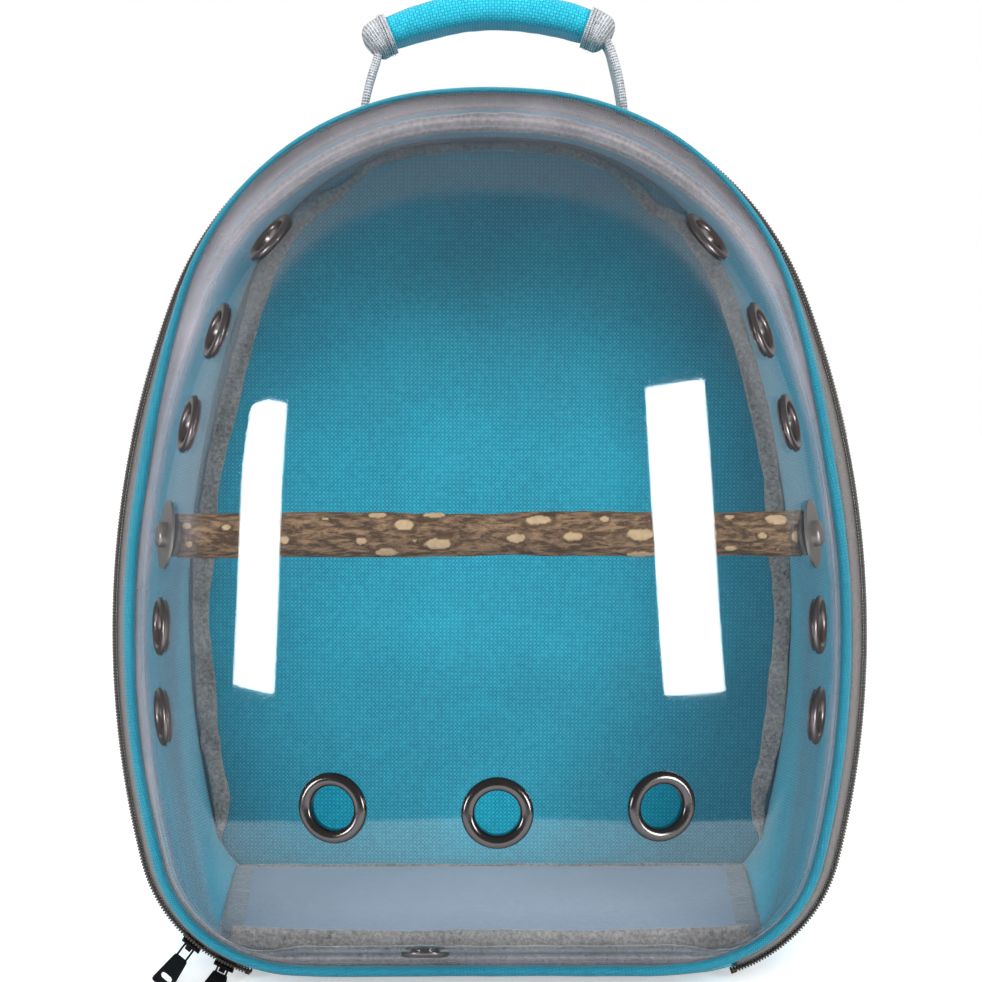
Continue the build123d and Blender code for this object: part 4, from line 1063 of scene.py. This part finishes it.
def make_harness():
    """Padded straps bowed off the back, their edge tape, and the webbing below them."""
    t = np.linspace(0, 1, STRAP_STEPS)
    bow = arc_through(*STRAP_BOW, STRAP_STEPS)
    for side, label in ((-1, "left"), (1, "right")):
        path = at(side * STRAP_X, bow[:, 0], bow[:, 1])
        run = lengths(path)
        profiles, u = strap_profiles(t, side)
        strap = make_piece(f"{label}_strap_pad", sweep(path, ALONG_X, profiles), u, run)
        dress(strap, "rear_body", "teal_fabric", teal_cloth, f"{label}_shoulder_strap")
        tape = merge([tube("edge", path + (edge * 26.3, 0, 0), ALONG_X, rounded_rectangle(*STRAP_TAPE),
                           1 + 0.1 * ripple_along(run / 7, 97 + edge)) for edge in (-1, 1)],
                     f"{label}_strap_edge_tape")
        dress(tape, "rear_body", "grey_binding", binding_cloth)
        down = np.linspace(0, 1, 60)
        path = at(side * (STRAP_X + (TAIL_X - STRAP_X) * down), HARNESS_Y + 4.1 + 0.25 * np.sin(down * 9),
                  TAIL_TOP - TAIL_DROP * down)
        tail = tube(f"{label}_tail_webbing", path, ALONG_X, rounded_rectangle(*TAIL), v=down * 60)
        dress(tail, "rear_body", "grey_webbing", webbing_cloth, f"{label}_strap_webbing")


def finish_solids():
    """The hard parts keep their solids and get their finishes."""
    finishes = {
        washer_steel: ("perch_washers", "perch_screws"),
        zip_metal: ("zip_end_stops", "upper_slider", "lower_slider", "upper_pull", "lower_pull"),
        black_plastic: ("left_ladder_lock", "right_ladder_lock"),
        rubber: ("perch_rubber_washers",),
        board_plastic: ("back_board", "base_board"),
        teal_panel: ("harness_yoke", "left_strap_anchor", "right_strap_anchor"),
        anchor_cloth: ("handle_anchors",),
    }
    for finish, names in finishes.items():
        for name in names:
            materials = bpy.data.objects[name].data.materials
            if not materials:
                materials.append(finish)
            for k in range(len(materials)):
                materials[k] = finish


# ------------------------------------------------------------------ studio, in metres
LAMP_TINT = (0.96, 0.98, 1.0)
TABLE_Z, TABLE_FRONT, APRON_RADIUS = -0.0026, -0.08, 0.53
LAMP_TARGET, STRIP_GLOW = (0, 0, 0.2), 19.0
SENSOR, LENS_SHARE = 36.0, 1664.0 / 982.0


def turned_to(place, target):
    """The turn that faces an object at place, which looks along its own -Z, to the target."""
    return (Vector(target) - Vector(place)).to_track_quat("-Z", "Y")


def soft_lamp(name, place, width, height, power):
    """A rectangular lamp that reflections don't find."""
    lamp = bpy.data.lights.new(name, "AREA")
    lamp.shape, lamp.size, lamp.size_y, lamp.energy = "RECTANGLE", width, height, power
    lamp.color = LAMP_TINT
    obj = bpy.data.objects.new(name, lamp)
    obj.location = place
    obj.rotation_euler = turned_to(place, LAMP_TARGET).to_euler()
    obj.visible_glossy = False
    bpy.context.scene.collection.objects.link(obj)


def softbox(name, middle, target, width, height, edge_turn, lean):
    """A glowing panel that only reflections find: level edges turned by edge_turn degrees, others by lean."""
    aim = turned_to(middle, target)
    turn, lean = (Quaternion(ALONG_Z, math.radians(angle)) for angle in (edge_turn, lean))
    along = aim @ turn @ Vector((width / 2, 0, 0))
    up = aim @ lean @ Vector((0, height / 2 / math.cos(lean.angle), 0))
    middle = Vector(middle)
    corners = [middle - along - up, middle + along - up, middle + along + up, middle - along + up]
    panel = new_object(name, corners, [range(4)])
    finish, shader, place = new_finish(name)
    finish.node_tree.nodes.remove(shader)
    show(add(place.tree, "Emission", {"Color": (*LAMP_TINT, 1.0), "Strength": STRIP_GLOW}))
    panel.data.materials.append(finish)
    panel.visible_camera = panel.visible_diffuse = panel.visible_transmission = panel.visible_shadow = False


def seen_straight(ray):
    """1 for rays of the camera, also through the clear cover."""
    return ray.out("Is Camera Ray").maths("MAXIMUM", ray.out("Is Transmission Ray"))


def table_finish():
    """A pale table that fades to white away from the carrier and is dark behind it in reflections."""
    finish, shader, place = new_finish("pale_floor", Roughness=0.9, Base_Color=(0.9, 0.9, 0.9, 1.0))
    tree = place.tree
    ray = add(tree, "LightPath")
    away = add(tree, "VectorMath", {0: place}, "Value", operation="LENGTH")
    glow = add(tree, "Emission", {"Color": WHITE, "Strength": away.ramp(0.25, 1.1, 0.42, 1.0)})
    plain = Wire(tree, shader.outputs[0])
    lit = mix_shader(seen_straight(ray), plain, add(tree, "AddShader", {0: plain, 1: glow}))
    dim = add(tree, "BsdfDiffuse", {"Color": (0.12, 0.12, 0.12, 1.0)})
    show(mix_shader(place.axes()[1].ramp(-0.32, -0.1) * ray.out("Is Glossy Ray"), lit, dim))
    return finish


def make_table():
    """A table that ends under the carrier's front edge, so that the cover can fold down past it.

    Its round front is found by reflections alone, which so end in a level line across the cover.
    """
    corners = [(-4, TABLE_FRONT, TABLE_Z), (4, TABLE_FRONT, TABLE_Z), (4, 6, TABLE_Z), (-4, 6, TABLE_Z)]
    rim = np.linspace(math.pi, 2 * math.pi, 49)
    floor = new_object("floor", corners, [range(4)])
    apron = new_object("floor_front", at(APRON_RADIUS * np.cos(rim), APRON_RADIUS * np.sin(rim) + TABLE_FRONT,
                                         TABLE_Z), [range(len(rim))])
    apron.visible_camera = apron.visible_transmission = False
    finish = table_finish()
    for surface in (floor, apron):
        surface.data.materials.append(finish)


def make_world(scene):
    """White to look at; reflections find a dim room with a bright sweep low behind the carrier."""
    world = scene.world = bpy.data.worlds.new("studio")
    world.use_nodes = True
    ray = add(world.node_tree, "LightPath")
    _, y, z = add(world.node_tree, "TexCoord", output="Generated").axes()
    bright = y.ramp(0.5, 0.68) * z.ramp(0.22, 0.5, 1.0, 0.0) * 0.42 + 0.18
    glossy = ray.out("Is Glossy Ray")
    level = (glossy * bright + (1.0 - glossy) * 0.4).maths("MAXIMUM", seen_straight(ray))
    background = world.node_tree.nodes["Background"]
    background.inputs["Color"].default_value = WHITE
    feed(background, Strength=level)


def make_camera(scene):
    camera = bpy.data.cameras.new("camera")
    camera.sensor_width, camera.lens = SENSOR, SENSOR * LENS_SHARE
    view = bpy.data.objects.new("camera", camera)
    view.location = (0.0, -0.829, 0.285)
    view.rotation_euler = np.radians((90 - 4.28, 0.11, -0.06))
    scene.collection.objects.link(view)
    scene.camera = view
    scene.view_settings.view_transform = "Standard"


def make_studio():
    make_table()
    make_world(bpy.context.scene)
    softbox("left_strip", (-0.560, -0.5525, 0.1525), (-0.087, -0.183, 0.215), 0.118, 0.217, -3.5, -13.3)
    softbox("right_strip", (0.490, -0.622, 0.157), (0.071, -0.190, 0.217), 0.17, 0.230, 2.0, 16.4)
    soft_lamp("front_soft", (0.0, -1.9, 1.55), 1.4, 0.9, 31)
    for side in (-1, 1):
        soft_lamp("side_soft", (side * 1.35, -1.25, 0.7), 0.7, 1.1, 21)
    soft_lamp("top_soft", (0, 0.1, 2.2), 2.4, 2.0, 22)
    make_camera(bpy.context.scene)


make_shell()
make_back()
make_bindings()
make_zip()
make_piping()
make_dome()
make_eyelets()
make_perch()
make_handle()
make_floor_pad()
make_harness()
finish_solids()
make_studio()
